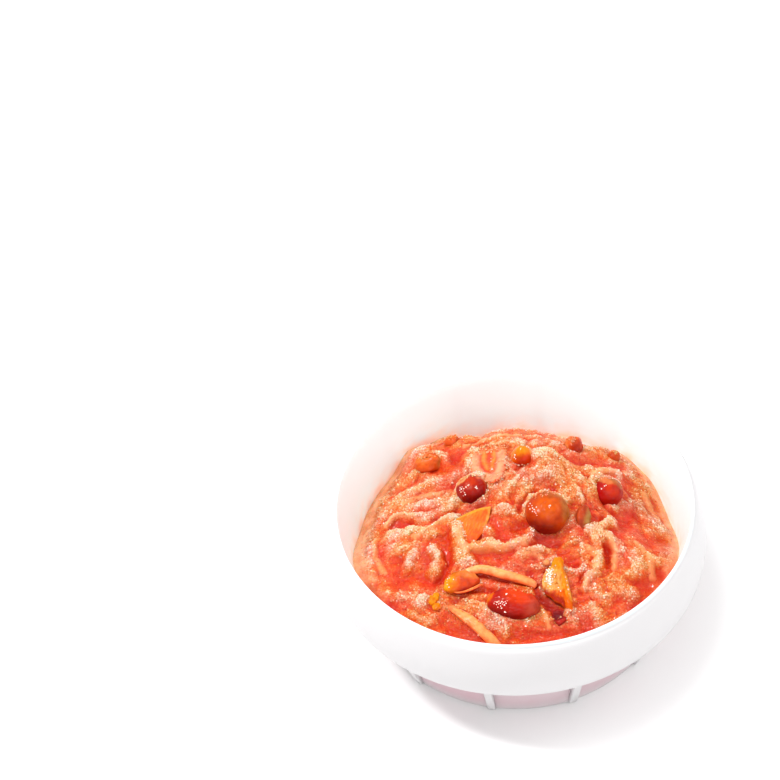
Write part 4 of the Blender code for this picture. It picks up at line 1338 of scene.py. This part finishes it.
def strand(name, points, radius, mat, paint, sides=20, count=36, squash=0.8, taper=(0.7, 0.75), seed=0.0):
    """A stem: a slightly flat, uneven rod with rounded ends."""
    line = spline(points, count)
    tangent = np.gradient(line, axis=0)
    tangent /= np.linalg.norm(tangent, axis=1)[:, None]
    rings = []
    for k, (p, t) in enumerate(zip(line, tangent)):
        s = k / (count - 1)
        side = unit(np.cross(t, (0, 0, 1)))
        top = np.cross(side, t)
        end = min(1.0, (s / 0.04 + 0.25) ** 0.5, ((1 - s) / 0.04 + 0.25) ** 0.5)
        r = radius * end * (taper[0] + (1 - taper[0]) * math.sin(math.pi * min(1, s * 1.1)) if s < 0.5
                            else taper[1] + (1 - taper[1]) * math.sin(math.pi * s))
        a = np.arange(sides) * 2 * math.pi / sides
        wob = 1 + 0.09 * perlin(np.cos(a) * 1.8 + seed, np.sin(a) * 1.8, s * 3.4)
        ring = p + r * wob[:, None] * (np.cos(a)[:, None] * side + squash * np.sin(a)[:, None] * top)
        rings.append(ring)
    obj, verts = loft(name, rings, mat)
    n = len(verts)
    s = np.concatenate([np.repeat(np.linspace(0, 1, count), sides), [0, 1]])
    a = np.concatenate([np.tile(np.arange(sides) * 2 * math.pi / sides, count), [0, 0]])
    set_color(obj, paint(s, np.sin(a), verts))
    return obj


def stem_paint(light, mid, dark, seed=0.0):
    def paint(s, height, pts):
        # painted light and shade: a stem runs from the dark colour along its underside to the light colour along its
        # top
        w = 0.5 + 0.5 * height + 0.3 * fbm(pts[:, 0] * 0.6 + seed, pts[:, 1] * 0.6, pts[:, 2] * 0.6)
        c = blend(dark, mid, w / 0.5)
        c = blend(c, light, (w - 0.55) / 0.4)
        v = 0.8 * perlin(height * 2.8 + seed, s * 2.4, 3.0) + 0.35 * fbm(pts[:, 0] * 1.1 + seed, pts[:, 1] * 1.1, pts[:, 2] * 1.1)
        c = blend(c, srgb(248, 196, 148), (v - 0.12) / 0.3 * 0.6)
        c = blend(c, srgb(226, 92, 42), (-v - 0.10) / 0.3 * 0.6)
        return blend(c, srgb(230, 96, 54), 1.0 - np.minimum(s, 1 - s) / 0.10)
    return paint


# screen-like directions of the main view, used only to say where on a cap a colour sits
RIGHT = np.array((1.0, 0.02, -0.07))
UP = np.array((0.04, 0.72, 0.69))
FACE = np.array((0.06, -0.69, 0.72))
CRUMBS = []
DROPS = []
DEEPEN = np.array((0.68, 0.56, 0.36))


def spot(right, up, face):
    return unit(right * RIGHT + up * UP + face * FACE)


def layered(base, layers, seed=0.0, wobble=0.16):
    """Colour of a cap: a base with patches, each (colour, direction, start, width, strength); on most caps some patches
    are painted light on the upper side and painted shade on the lower side.
    """
    def paint(dirs, h, pts):
        c = np.repeat(np.asarray(base, float)[None], len(dirs), 0)
        for k, (colour, direction, start, width, strength) in enumerate(layers):
            wob = wobble * fbm(pts[:, 0] * 0.6 + seed + 7 * k, pts[:, 1] * 0.6, pts[:, 2] * 0.6)
            s = dirs @ direction
            c = blend(c, colour, smooth((s - start + wob) / width) * strength)
        return c * DEEPEN
    return paint


def crumbs(obj, direction, low, high, count, tone=0.85, lift=0.08):
    """Grains of roe stuck on a cap, between two angles from a direction."""
    mesh = obj.data
    co = np.empty(len(mesh.vertices) * 3)
    no = np.empty(len(mesh.vertices) * 3)
    mesh.vertices.foreach_get("co", co)
    mesh.vertices.foreach_get("normal", no)
    co, no = co.reshape(-1, 3) / MM, no.reshape(-1, 3)
    s = no @ direction + 0.12 * perlin(co[:, 0] * 0.9, co[:, 1] * 0.9, co[:, 2] * 0.9)
    pick = np.flatnonzero((s > low) & (s < high))
    if len(pick) == 0:
        return
    pick = rng.choice(pick, min(count, len(pick)), replace=False)
    CRUMBS.append((co[pick] + no[pick] * lift + rng.normal(0, 0.06, (len(pick), 3)), tone))


def drops(obj, middle, places, lift=0.0):
    """Drops of brine on a piece, each at a step right and up from the piece's middle in the main view, in mm."""
    mesh = obj.data
    co = np.empty(len(mesh.vertices) * 3)
    no = np.empty(len(mesh.vertices) * 3)
    mesh.vertices.foreach_get("co", co)
    mesh.vertices.foreach_get("normal", no)
    co, no = co.reshape(-1, 3) / MM, no.reshape(-1, 3)
    facing = no @ FACE > 0.1
    co, no = co[facing], no[facing]
    h, v = (co - middle) @ RIGHT, (co - middle) @ UP
    found = []
    for a, b in places:
        k = np.argmin((h - a) ** 2 + (v - b) ** 2 - 0.02 * (co @ FACE))
        # step from the nearest point of the mesh over its tangent plane to the place itself
        da, db = a - h[k], b - v[k]
        step = da * RIGHT + db * UP
        step = step - no[k] * (step @ no[k])
        found.append(co[k] + step + no[k] * lift)
    DROPS.append(np.array(found))


def cap(name, slot, node_name, centre, radius, height, axis, paint, **more):
    obj = button(name, centre, radius, height, axis, paint=paint, **more)
    return ride(obj, slot, node_name)


TOP, LEFT_UP = spot(0, 1, 0.35), spot(-0.7, 0.6, 0.5)
# painted light and shade on cap_center: the lighter orange patch on its upper middle is painted light, and the dark red
# patch on its lower side painted shade. The olive-tan patch on its right is partly a wet film and partly a painted
# reflection of the light on the right
c = cap("cap_center_skin", "cap_orange", "cap_center", (8.4, -4.0, 35.2), 5.45, 4.6, (0.05, -0.35, 1.0),
        layered(srgb(202, 70, 12), (
            (srgb(224, 106, 14), spot(-0.05, 0.55, 0.85), 0.60, 0.5, 0.9),
            (srgb(140, 20, 16), spot(-0.35, -0.95, 0.2), 0.34, 0.50, 0.95),
            (srgb(186, 118, 54), spot(1.0, 0.15, 0.25), 0.66, 0.30, 0.80),
            (srgb(170, 88, 30), spot(0.2, 1.0, 0.15), 0.80, 0.16, 0.80),
            (srgb(222, 164, 104), spot(0.45, 0.95, 0.0), 0.86, 0.12, 0.9),
            (srgb(210, 78, 14), spot(-0.1, 0.15, -1.0), 0.30, 0.35, 0.85)), 1.0, 0.10), seed=1.0, dent=0.03)
crumbs(c, spot(-0.15, 1.0, 0.15), 0.86, 0.99, 60, 0.6, -0.05)
drops(c, (8.4, -4.0, 35.2), ((-4.6, 2.9), (-4.3, 2.3), (-4.0, 1.9), (-3.9, 1.3), (-3.5, 1.0), (-3.4, 0.4), (-3.1, 0.1),
                             (-2.9, -0.4), (-4.7, 1.7), (-4.4, 1.0), (-3.9, 0.5), (-3.0, 1.6), (0.1, 1.9), (0.4, 2.0),
                             (0.2, 1.5)))
# painted light and shade on cap_left: the orange-red patch on its upper left is painted light, and the maroon patch on
# its lower side painted shade
c = cap("cap_left_skin", "cap_red", "cap_left", (-10.4, 6.0, 33.3), 4.0, 3.7, (-0.25, -0.3, 1.0),
        layered(srgb(168, 24, 12), (
            (srgb(214, 66, 22), spot(-0.2, 0.6, 0.8), 0.70, 0.4, 0.9),
            (srgb(112, 8, 18), spot(0.3, -0.9, 0.3), 0.30, 0.5, 0.9),
            (srgb(242, 176, 130), spot(-0.75, 0.75, 0.05), 0.80, 0.10, 0.9),
            (srgb(228, 120, 80), spot(0.6, 0.85, 0.0), 0.84, 0.10, 0.8),
            (srgb(172, 30, 14), spot(0.0, 0.15, -1.0), 0.30, 0.35, 0.85)), 2.0), seed=2.0)
crumbs(c, spot(-0.3, 1.0, 0.0), 0.86, 1.0, 50, 0.8, -0.04)
drops(c, (-10.4, 6.0, 33.3), ((-3.1, 0.7), (-2.8, 0.4), (-2.6, 0.9), (-2.2, 0.5), (-2.4, -0.1), (-2.0, -0.5),
                              (-1.8, -1.0), (-2.3, -1.3), (-3.2, 0.1), (-2.9, -0.4), (-1.6, 0.9), (-1.1, 1.3),
                              (-0.9, 1.5), (0.8, 0.8), (1.1, 0.6), (1.0, 1.1)))
# painted light and shade on cap_top: the yellow amber towards its top is painted light, and the red towards its lower
# side painted shade
c = cap("cap_top_skin", "cap_amber", "cap_top", (2.9, 13.9, 37.0), 3.0, 3.2, (-0.10, 0.15, 1.0),
        layered(srgb(228, 106, 2), (
            (srgb(244, 156, 4), spot(-0.2, 0.7, 0.6), 0.50, 0.4, 0.95),
            (srgb(206, 50, 8), spot(0.2, -0.8, 0.6), 0.30, 0.5, 0.95),
            (srgb(246, 190, 140), spot(1.0, 0.3, 0.1), 0.74, 0.12, 0.85),
            (srgb(240, 176, 110), spot(-1.0, 0.3, 0.1), 0.84, 0.12, 0.8)), 3.0), hollow=0.7, seed=3.0, point=0.48)
crumbs(c, spot(0.3, 1.0, 0.1), 0.92, 1.0, 24, 0.8, -0.04)
drops(c, (2.9, 13.9, 37.0), ((-2.1, 0.2), (-2.2, -0.4), (-1.9, -0.8), (1.0, 2.3), (1.4, 2.1)))
crumbs(c, spot(0.0, -1.0, 0.1), 0.80, 1.0, 26, 0.9)
# painted shade on cap_right: the dark red patch on its lower side
c = cap("cap_right_skin", "cap_red", "cap_right", (24.3, 6.6, 30.0), 3.9, 3.5, (0.35, -0.25, 1.0),
        layered(srgb(190, 30, 14), (
            (srgb(214, 62, 22), spot(0.3, 0.3, 0.9), 0.75, 0.4, 0.9),
            (srgb(178, 8, 26), spot(-0.9, 0.0, 0.4), 0.55, 0.4, 0.9),
            (srgb(170, 14, 14), spot(0.1, -1.0, 0.3), 0.50, 0.5, 0.8),
            (srgb(224, 140, 96), spot(0.0, 1.0, 0.2), 0.70, 0.12, 0.85),
            (srgb(176, 104, 56), spot(0.65, 0.75, 0.2), 0.78, 0.12, 0.8),
            (srgb(196, 44, 18), spot(0.0, 0.15, -1.0), 0.30, 0.35, 0.85)), 4.0), seed=4.0)
crumbs(c, spot(-0.2, 1.0, 0.0), 0.82, 1.0, 70, 0.75, -0.04)
drops(c, (24.3, 6.6, 30.0), ((-1.2, 1.6), (-0.8, 1.8), (-2.0, 0.9)))
# painted light and shade on cap_front: the orange-red patch on its upper side is painted light, and the dark patches on
# its lower left and lower right painted shade
c = cap("cap_front_skin", "cap_red", "cap_front", (-1.0, -28.4, 30.0), 4.05, 3.4, (0.05, -0.3, 1.0),
        layered(srgb(190, 30, 14), (
            (srgb(232, 72, 18), spot(0.25, 0.75, 0.6), 0.62, 0.35, 0.9),
            (srgb(126, 14, 20), spot(-0.45, -0.9, 0.3), 0.40, 0.5, 0.9),
            (srgb(196, 78, 66), spot(0.85, -0.2, 0.5), 0.66, 0.3, 0.85),
            (srgb(150, 40, 40), spot(0.6, -0.8, 0.2), 0.80, 0.2, 0.8),
            (srgb(242, 130, 36), spot(-1.0, 0.35, 0.0), 0.86, 0.10, 1.0)), 5.0, 0.10), stretch=1.6, spin=-4, seed=5.0, dent=0.05)
crumbs(c, spot(0.2, 1.0, 0.0), 0.90, 1.0, 40, 0.65, -0.04)
drops(c, (-1.0, -28.4, 30.0), ((-4.8, 0.5), (-4.5, 0.9), (-4.2, 0.2), (-4.0, 0.8), (-3.7, 0.4), (-3.6, 1.0), (-3.3, 0.6),
                               (-3.2, -0.1), (-2.9, 1.0), (-2.8, 0.4), (-2.5, 0.8), (-2.3, 0.2), (-2.1, 1.0),
                               (-1.9, 0.6), (-3.9, -0.4), (-3.0, -0.6), (-1.6, 1.2), (-2.2, -1.5), (-2.0, -1.6),
                               (-1.8, 2.6), (-1.6, 2.8)))
# painted light on cap_small_right: the lighter patch on its upper left
cap("cap_small_right_skin", "cap_red", "cap_small_right", (17.4, -4.2, 32.9), 2.0, 1.8, (0.5, -0.4, 1.0),
    layered(srgb(176, 66, 34), (
        (srgb(206, 84, 40), spot(-0.5, 0.6, 0.6), 0.7, 0.4, 0.7),
        (srgb(184, 146, 88), spot(0.9, -0.1, 0.4), 0.25, 0.6, 0.9)), 6.0), hollow=0.7, stretch=1.6, spin=80, seed=6.0,
    dent=0.12)
# painted light and shade on cap_back: the lighter patch on its upper left is painted light, and the deeper red on its
# lower front painted shade
c = cap("cap_back_skin", "cap_red", "cap_back", (16.2, 21.6, 31.0), 2.5, 3.0, (0.1, -0.1, 1.0),
        layered(srgb(204, 70, 30), (
            (srgb(236, 122, 64), spot(-0.4, 0.8, 0.4), 0.45, 0.5, 0.85),
            (srgb(172, 36, 20), spot(0.3, -0.4, 0.8), 0.6, 0.5, 0.85),
            (srgb(238, 150, 98), spot(-0.9, 0.0, 0.3), 0.75, 0.2, 0.8)), 7.0), hollow=0.7, seed=7.0, dent=0.14)
crumbs(c, spot(-0.4, 1.0, 0.1), 0.45, 1.0, 46, 0.66, -0.02)
crumbs(c, spot(0.5, -1.0, 0.1), 0.70, 1.0, 24, 0.5, 0.0)
# painted light and shade on cap_back_right: lighter towards its top, deeper red on its front
c = cap("cap_back_right_skin", "cap_orange", "cap_back_right", (26.9, 22.0, 26.0), 1.7, 1.8, (0.3, 0.0, 1.0),
        layered(srgb(210, 84, 34), (
            (srgb(178, 50, 24), spot(0, -0.3, 1.0), 0.8, 0.3, 0.8),
            (srgb(238, 136, 76), spot(0, 1.0, 0.1), 0.70, 0.25, 0.8)), 8.0), hollow=0.7, seed=8.0)
crumbs(c, spot(0.1, 1.0, 0.1), 0.50, 1.0, 26, 0.66, -0.02)
# painted light and shade on cap_back_left: the lighter patch on its upper left is painted light, and the deeper red on
# its lower side painted shade
c = cap("cap_back_left_skin", "cap_orange", "cap_back_left", (-21.7, 20.6, 27.8), 2.75, 2.2, (-0.2, -0.2, 1.0),
        layered(srgb(230, 104, 40), (
            (srgb(240, 132, 60), spot(-0.6, 0.6, 0.6), 0.6, 0.5, 0.8),
            (srgb(186, 110, 62), spot(0.95, 0.1, 0.4), 0.6, 0.3, 0.8),
            (srgb(196, 58, 22), spot(0, -1.0, 0.4), 0.5, 0.4, 0.8)), 9.0), hollow=0.7, stretch=1.45, spin=10,
        seed=9.0, dent=0.12)
crumbs(c, spot(-0.2, 1.0, 0.0), 0.66, 1.0, 60, 0.6, 0.0)
# painted light and shade on cap_far_back: lighter towards its top, deeper red on its lower side
c = cap("cap_far_back_skin", "cap_orange", "cap_far_back", (-15.6, 28.2, 27.2), 1.9, 2.0, (-0.1, 0.3, 1.0),
        layered(srgb(222, 98, 46), (
            (srgb(238, 140, 78), spot(-0.2, 1.0, 0.2), 0.6, 0.35, 0.8),
            (srgb(200, 62, 28), spot(0.2, -0.8, 0.6), 0.5, 0.4, 0.8)), 10.0), hollow=0.7, stretch=1.1, seed=10.0,
        dent=0.14)
crumbs(c, spot(-0.2, 1.0, 0.1), 0.50, 1.0, 30, 0.66, -0.02)


def flap(name, outline, depth, bulge, relief, mat, paint, rows=22, cols=150, smoothing=2):
    """A cut piece seen from above: a closed outline with a domed top and straight sides going down."""
    o = np.asarray(outline, float)
    closed = np.concatenate([o, o[:1]])
    length = np.concatenate([[0], np.cumsum(np.linalg.norm(np.diff(closed, axis=0), axis=1))])
    s = np.linspace(0, length[-1], cols, endpoint=False)
    edge = np.stack([np.interp(s, length, closed[:, k]) for k in range(3)], -1)
    for _ in range(smoothing):
        edge = 0.25 * np.roll(edge, 1, 0) + 0.5 * edge + 0.25 * np.roll(edge, -1, 0)
    c = edge.mean(0)
    rings, share = [], []
    for f in np.linspace(0.04, 1.0, rows):
        p = c + (edge - c) * f
        p[:, 2] += bulge * (1 - f ** 3) - 0.12 * f ** 12 + relief(p[:, 0], p[:, 1]) * (1 - f ** 8)
        rings.append(p)
        share.append(np.full(cols, f))
    for down, out in ((0.22, 0.02), (0.5, 0.015), (1.2, -0.03), (depth, -0.12), (depth, -0.5)):
        p = c + (edge - c) * (1.0 + out)
        p[:, 2] = edge[:, 2] - down
        rings.append(p)
        share.append(np.full(cols, 1.0 + down))
    obj, verts = loft(name, rings, mat)
    share = np.concatenate(share + [[0.0], [9.0]])
    set_color(obj, paint(verts, share))
    return obj


def line_side(pts, a, b):
    """Distance to the left of the line from a to b."""
    d = np.array(b, float) - np.array(a, float)
    d /= np.linalg.norm(d)
    return (pts[:, 0] - a[0]) * -d[1] + (pts[:, 1] - a[1]) * d[0]


WEDGE = ((11.2, -16.1, 32.6), (9.7, -16.2, 32.6), (9.1, -17.2, 32.4), (8.8, -18.4, 32.0), (7.6, -19.4, 31.9),
         (6.8, -20.9, 31.6), (6.3, -22.6, 31.3), (6.5, -24.4, 30.9), (7.0, -25.8, 30.6), (8.2, -26.4, 30.5),
         (9.2, -27.6, 30.2), (10.6, -28.2, 30.0), (11.6, -29.4, 29.7), (13.4, -30.4, 29.3), (13.4, -27.5, 29.8),
         (13.0, -24.4, 30.5), (12.5, -21.4, 31.2), (11.7, -18.9, 31.8), (11.9, -17.2, 32.3))


def make_wedge():
    """Torn quarter of a cap: amber skin on the right, pale wet flesh on the left, ragged at the foot."""
    right_edge = ((11.6, -16.7), (13.4, -29.6))

    def relief(x, y):
        pts = np.stack([x, y], -1)
        q = line_side(pts, *right_edge)
        strip = 0.8 * np.exp(-((q + 0.9) / 0.6) ** 2) - 0.6 * np.exp(-((q + 2.3) / 0.7) ** 2)
        return strip + 0.7 * perlin(x * 0.8, y * 0.8, 61.0) + 0.45 * perlin(x * 1.9, y * 1.9, 62.0)

    def paint(pts, share):
        q = -line_side(pts, *right_edge)
        w = 1.1 * fbm(pts[:, 0] * 0.6, pts[:, 1] * 0.6, 5.0)
        y = pts[:, 1]
        fine = perlin(pts[:, 0] * 1.6, pts[:, 1] * 1.6, 63.0)
        col = blend(srgb(236, 168, 84), srgb(240, 206, 150), 0.4 + 1.6 * fine)
        col = blend(col, srgb(218, 164, 16), (y + 19.6 + w) / 1.0)
        col = blend(col, srgb(244, 156, 22), (2.1 - q + w + 0.8 * fine) / 0.9)
        col = blend(col, srgb(244, 184, 90), (0.55 - q + 0.2 * w) / 0.3 * (y < -21.0))
        col = blend(col, srgb(232, 110, 14), (-23.8 - y + w) / 1.4 * (q > 1.2) + (-27.0 - y + w) / 1.5)
        # painted shade: the lower left is painted red-brown where the underside lies in shade, and the sides deeper as
        # they go down into the paste
        col = blend(col, srgb(176, 40, 14), (-26.4 - y + 0.7 * (q - 2.6) + w) / 1.2 * (q > 1.6))
        col = blend(col, srgb(206, 90, 24), (share - 1.05) / 0.2)
        return blend(col, srgb(130, 22, 14), (share - 1.5) / 0.9) * (0.72, 0.56, 0.36)

    obj = flap("cap_wedge_flesh", WEDGE, 3.0, 0.95, relief, mat_skin, paint, smoothing=1)
    KEEP_OUT.append((np.array([9.9, -23.2, 31.0]), np.array([2.6, 5.4, 2.2])))
    ride(obj, "cap_amber", "cap_wedge")
    h, v = rng.normal(-1.75, 0.50, 90), rng.normal(1.3, 1.15, 90)
    drops(obj, (9.9, -22.8, 31.0), list(zip(h + 0.12 * (v - 1.2), v)), 0.03)
    drops(obj, (9.9, -22.8, 31.0), ((0.3, -1.2), (0.8, -2.0), (2.1, 1.3), (2.3, 0.4), (2.5, -0.6), (2.6, -1.6), (2.7, -2.6)))


SLICE = ((-15.0, -3.7, 33.4), (-11.5, -1.7, 33.7), (-8.4, -0.6, 34.0), (-5.7, -0.4, 34.3), (-6.2, -3.2, 33.4),
         (-7.5, -6.8, 32.7), (-9.1, -9.3, 32.6), (-11.1, -10.8, 32.3), (-12.5, -10.3, 32.6), (-12.9, -7.5, 33.1),
         (-14.0, -5.5, 33.3))


def make_slice():
    """Thin fan-shaped slice, finely grooved, its edges sunk in the paste."""
    top_edge = ((-14.5, -3.5), (-5.7, -0.4))

    def groove(x, y):
        q = 0.92 * x - 0.40 * y + 0.5 * perlin(x * 0.5, y * 0.5, 66.0)
        return np.sin(q * 8.0)

    def relief(x, y):
        return 0.05 * groove(x, y) + 0.25 * perlin(x * 0.45, y * 0.45, 64.0) + 0.08 * perlin(x * 1.6, y * 1.6, 65.0)

    def paint(pts, share):
        x, y = pts[:, 0], pts[:, 1]
        w = fbm(x * 0.5, y * 0.5, 6.0)
        col = blend(srgb(242, 138, 44), srgb(232, 104, 28), 0.45 + 0.22 * groove(x, y) + 0.6 * w)
        down = -line_side(pts, *top_edge)
        col = blend(col, srgb(226, 82, 26), (down - 4.2 + w) / 4.0)
        col = blend(col, srgb(226, 172, 62), (0.55 - down + 0.5 * w) / 0.4)
        col = blend(col, srgb(250, 178, 96), (0.5 - line_side(pts, (-7.5, -6.8), (-5.7, -0.4))) / 0.4 * 0.8)
        return blend(col, srgb(190, 60, 24), (share - 1.1) / 0.3) * (0.80, 0.60, 0.38)

    obj = flap("cap_slice_flesh", SLICE, 1.6, 0.55, relief, mat_flesh, paint)
    ride(obj, "cap_orange", "cap_slice")
    # wet grains along the left edge
    t = rng.random(50)
    a, b = np.array((-14.4, -4.0, 33.6)), np.array((-12.6, -9.4, 33.1))
    CRUMBS.append((a * (1 - t)[:, None] + b * t[:, None] + rng.normal(0, 0.42, (50, 3)) * (1, 1, 0.35), 1.0))
    drops(obj, (-10.3, -5.4, 33.4), ((-3.6, 0.0), (-3.4, -0.6), (-3.1, -1.0), (-3.0, -1.6), (-2.8, -2.2), (-2.5, -2.6), (-3.5, 0.5), (-3.2, -0.2), (-2.7, -1.4)), 0.03)


def make_lying():
    """Mushroom on its side: a cut cap to the left and a long stem to the right."""
    # painted light and shade on the lying cap: lighter on top, darker on its lower side and underside. The bright
    # yellow patch at its far left is a painted highlight
    c = button("mushroom_left_cap", (-13.6, -21.6, 30.6), 2.9, 2.3, (-0.1, -0.3, 1.0), hollow=0.9, stretch=1.5,
               spin=12, seed=12.0, dent=0.13,
               paint=layered(srgb(218, 78, 36), (
                   (srgb(238, 142, 78), spot(0.35, 0.9, 0.15), 0.50, 0.3, 0.85),
                   (srgb(170, 26, 22), spot(0.3, -1.0, 0.1), 0.35, 0.3, 0.9),
                   (srgb(238, 128, 30), spot(-1.0, 0.1, 0.3), 0.30, 0.40, 0.9),
                   (srgb(250, 170, 14), spot(-1.0, 0.2, 0.2), 0.60, 0.30, 1.0),
                   (srgb(206, 110, 20), spot(-0.7, 1.0, -0.1), 0.80, 0.14, 0.7),
                   (srgb(255, 206, 80), spot(-1.0, -0.1, 0.25), 0.90, 0.10, 0.6),
                   (srgb(104, 8, 16), spot(0.0, -1.0, -0.3), 0.72, 0.15, 0.9)), 12.0, 0.12))
    ride(c, "cap_amber", "mushroom_left")
    drops(c, (-13.6, -21.6, 30.6), ((-3.3, 0.9), (-3.5, 0.3), (-3.4, -0.4), (-2.9, 1.2), (-1.9, 0.9), (-3.0, -1.0)))
    gill = strand("mushroom_left_gill", ((-16.6, -23.4, 30.5), (-14.4, -24.4, 30.4), (-11.4, -24.0, 30.7),
                                         (-8.6, -22.7, 31.0)), 0.42, mat_flesh,
                  stem_paint(srgb(228, 116, 56), srgb(216, 84, 38), srgb(184, 50, 28), 4.0), count=30, sides=10)
    ride(gill, "cap_amber", "mushroom_left")
    stem = strand("mushroom_left_stem",
                  ((-14.2, -20.0, 31.2), (-8.8, -18.6, 31.8), (-2.6, -20.6, 31.7), (2.6, -21.9, 30.7), (4.8, -22.6, 29.3)), 1.3, mat_flesh,
                  stem_paint(srgb(238, 142, 82), srgb(226, 98, 46), srgb(204, 54, 24), 1.0), count=60)
    ride(stem, "cap_amber", "mushroom_left")
    stem_grains(stem, 12)


def stem_grains(obj, count, beyond=-99.0):
    mesh = obj.data
    co = np.empty(len(mesh.vertices) * 3)
    no = np.empty(len(mesh.vertices) * 3)
    mesh.vertices.foreach_get("co", co)
    mesh.vertices.foreach_get("normal", no)
    co, no = co.reshape(-1, 3) / MM, no.reshape(-1, 3)
    if beyond > -99.0:
        pick = np.flatnonzero((no[:, 2] > 0.3) & (co[:, 1] > beyond))
    else:
        pick = np.flatnonzero((no[:, 2] > -0.1) & (np.abs(no @ FACE) < 0.75))
    pick = rng.choice(pick, min(count, len(pick)), replace=False)
    CRUMBS.append((co[pick] + no[pick] * 0.1, 0.85))


FOLD = ((-9.6, 21.8, 31.7), (-11.0, 18.6, 32.4), (-11.3, 14.2, 33.1), (-9.9, 10.2, 33.9), (-7.4, 7.9, 34.4),
        (-4.8, 7.6, 34.4), (-2.4, 9.4, 34.6), (-1.1, 13.2, 34.6), (-1.1, 17.0, 34.2), (-2.0, 20.8, 33.4),
        (-5.6, 21.6, 32.4))


def make_stems():
    front = strand("stem_front_flesh", ((-17.0, -26.8, 28.2), (-11.6, -31.6, 28.3), (-7.2, -35.8, 27.0), (-4.4, -38.8, 25.0)), 1.5, mat_flesh,
                   stem_paint(srgb(238, 142, 82), srgb(226, 98, 46), srgb(204, 54, 24), 2.0), count=50, taper=(0.4, 0.95),
                   squash=0.65)
    ride(front, "stem_pale", "stem_front")
    stem_grains(front, 10)
    fold_line = ((-8.6, 21.6), (-9.8, 17.8), (-9.9, 13.8), (-8.4, 10.4), (-5.4, 8.8), (-3.2, 10.4), (-2.2, 14.4), (-2.4, 20.0))

    def band(x, y):
        return line_distance(x, y, fold_line)

    def stripes(x, y):
        return np.minimum(line_distance(x, y, ((-6.9, 20.6), (-7.2, 16.2), (-6.2, 12.6))),
                          line_distance(x, y, ((-4.6, 20.4), (-4.4, 16.4), (-5.2, 12.8))))

    def relief(x, y):
        return (0.55 * np.exp(-(band(x, y) / 1.5) ** 2) + 0.25 * np.exp(-(stripes(x, y) / 0.5) ** 2) - 0.45
                + 0.3 * perlin(x * 0.7, y * 0.7, 91.0) + 0.12 * perlin(x * 2.0, y * 2.0, 92.0))

    def paint(pts, share):
        x, y = pts[:, 0], pts[:, 1]
        w = 0.35 * fbm(x * 0.6, y * 0.6, 9.0)
        col = blend(srgb(212, 56, 24), srgb(234, 116, 48), 1.2 - stripes(x, y) / 0.8 + w)
        col = blend(col, srgb(236, 138, 100), 1.9 - band(x, y) / 1.0 + 1.6 * w)
        col = blend(col, srgb(228, 104, 60), (y - 18.4) / 2.6 + w)
        return blend(col, srgb(224, 90, 46), (share - 1.05) / 0.3)

    obj = flap("stem_bent_flesh", FOLD, 2.4, 0.35, relief, mat_flesh, paint)
    ride(obj, "stem_pale", "stem_bent")
    stem_grains(obj, 10)
    stem_grains(obj, 70, 18.6)
    # roe that leans on the edge of the fold
    edge = spline([FOLD[-1]] + list(FOLD) + [FOLD[0]], 150)
    edge = np.asarray(edge) + rng.normal(0, 0.34, (150, 3)) * (1, 1, 0.3) + (0, 0, 0.22)
    CRUMBS.append((edge, 0.74))


CORNER = ((8.3, -30.2, 29.0), (9.8, -29.3, 29.1), (11.4, -29.8, 28.9), (13.8, -29.8, 28.5), (12.9, -31.1, 28.2),
          (11.4, -32.3, 27.9), (9.9, -33.3, 27.5), (9.0, -32.4, 28.0), (8.5, -31.3, 28.5))


def make_corner():
    """Torn scrap of skin under the wedge, painted dark red: partly the skin's own colour, partly painted shade under
    the wedge, with its sides painted darker still.
    """
    def relief(x, y):
        return 0.3 * perlin(x * 0.45, y * 0.45, 81.0) - 0.5 * np.exp(-(line_distance(x, y, ((9.4, -31.6), (12.0, -30.6))) / 0.8) ** 2)

    def paint(pts, share):
        w = fbm(pts[:, 0] * 0.5, pts[:, 1] * 0.5, 8.0)
        col = blend(srgb(104, 10, 14), srgb(170, 34, 20), 0.35 + 0.9 * w)
        return blend(col, srgb(70, 4, 10), (share - 1.0) / 0.8)

    obj = flap("cap_corner_skin", CORNER, 2.4, 0.2, relief, mat_skin, paint, smoothing=2)
    ride(obj, "cap_red", "cap_corner_front")


def make_bits():
    """Two amber drops of jelly at the left and one single larger egg, all sunk in the paste."""
    # painted shade: each drop of jelly and the single egg is painted deeper on its lower side
    for k, (x, y, r) in enumerate(((-20.2, -24.9, 1.0), (-19.8, -26.6, 0.85))):
        z = float(heap(np.array([x]), np.array([y]))[0][0])
        obj = button("jelly_%d" % (k + 1), (x, y, z - 0.1), r * 1.25, r, (0, -0.3, 1.0), hollow=0.8, seed=20.0 + k,
                     rows=22, cols=34, dent=0.45, stretch=1.2, spin=40.0 + 70 * k,
                     paint=layered(srgb(248, 160, 20), ((srgb(228, 92, 24), spot(0.5, -0.8, 0.2), 0.2, 0.6, 0.9),), 20.0))
        ride(obj, "cap_amber", "mentaiko")
    x, y = 7.6, -17.6
    z = float(heap(np.array([x]), np.array([y]))[0][0])
    obj = button("jelly_3", (x, y, z + 0.35), 0.85, 0.85, (0, -0.3, 1.0), hollow=1.0, seed=23.0, rows=16, cols=24,
                 paint=layered(srgb(244, 170, 130), ((srgb(236, 110, 70), spot(0.3, -0.9, 0.2), 0.3, 0.5, 0.8),), 21.0))
    ride(obj, "roe_paste", "mentaiko")


make_wedge()
make_slice()
make_lying()
make_stems()
make_corner()
make_bits()
make_roe()
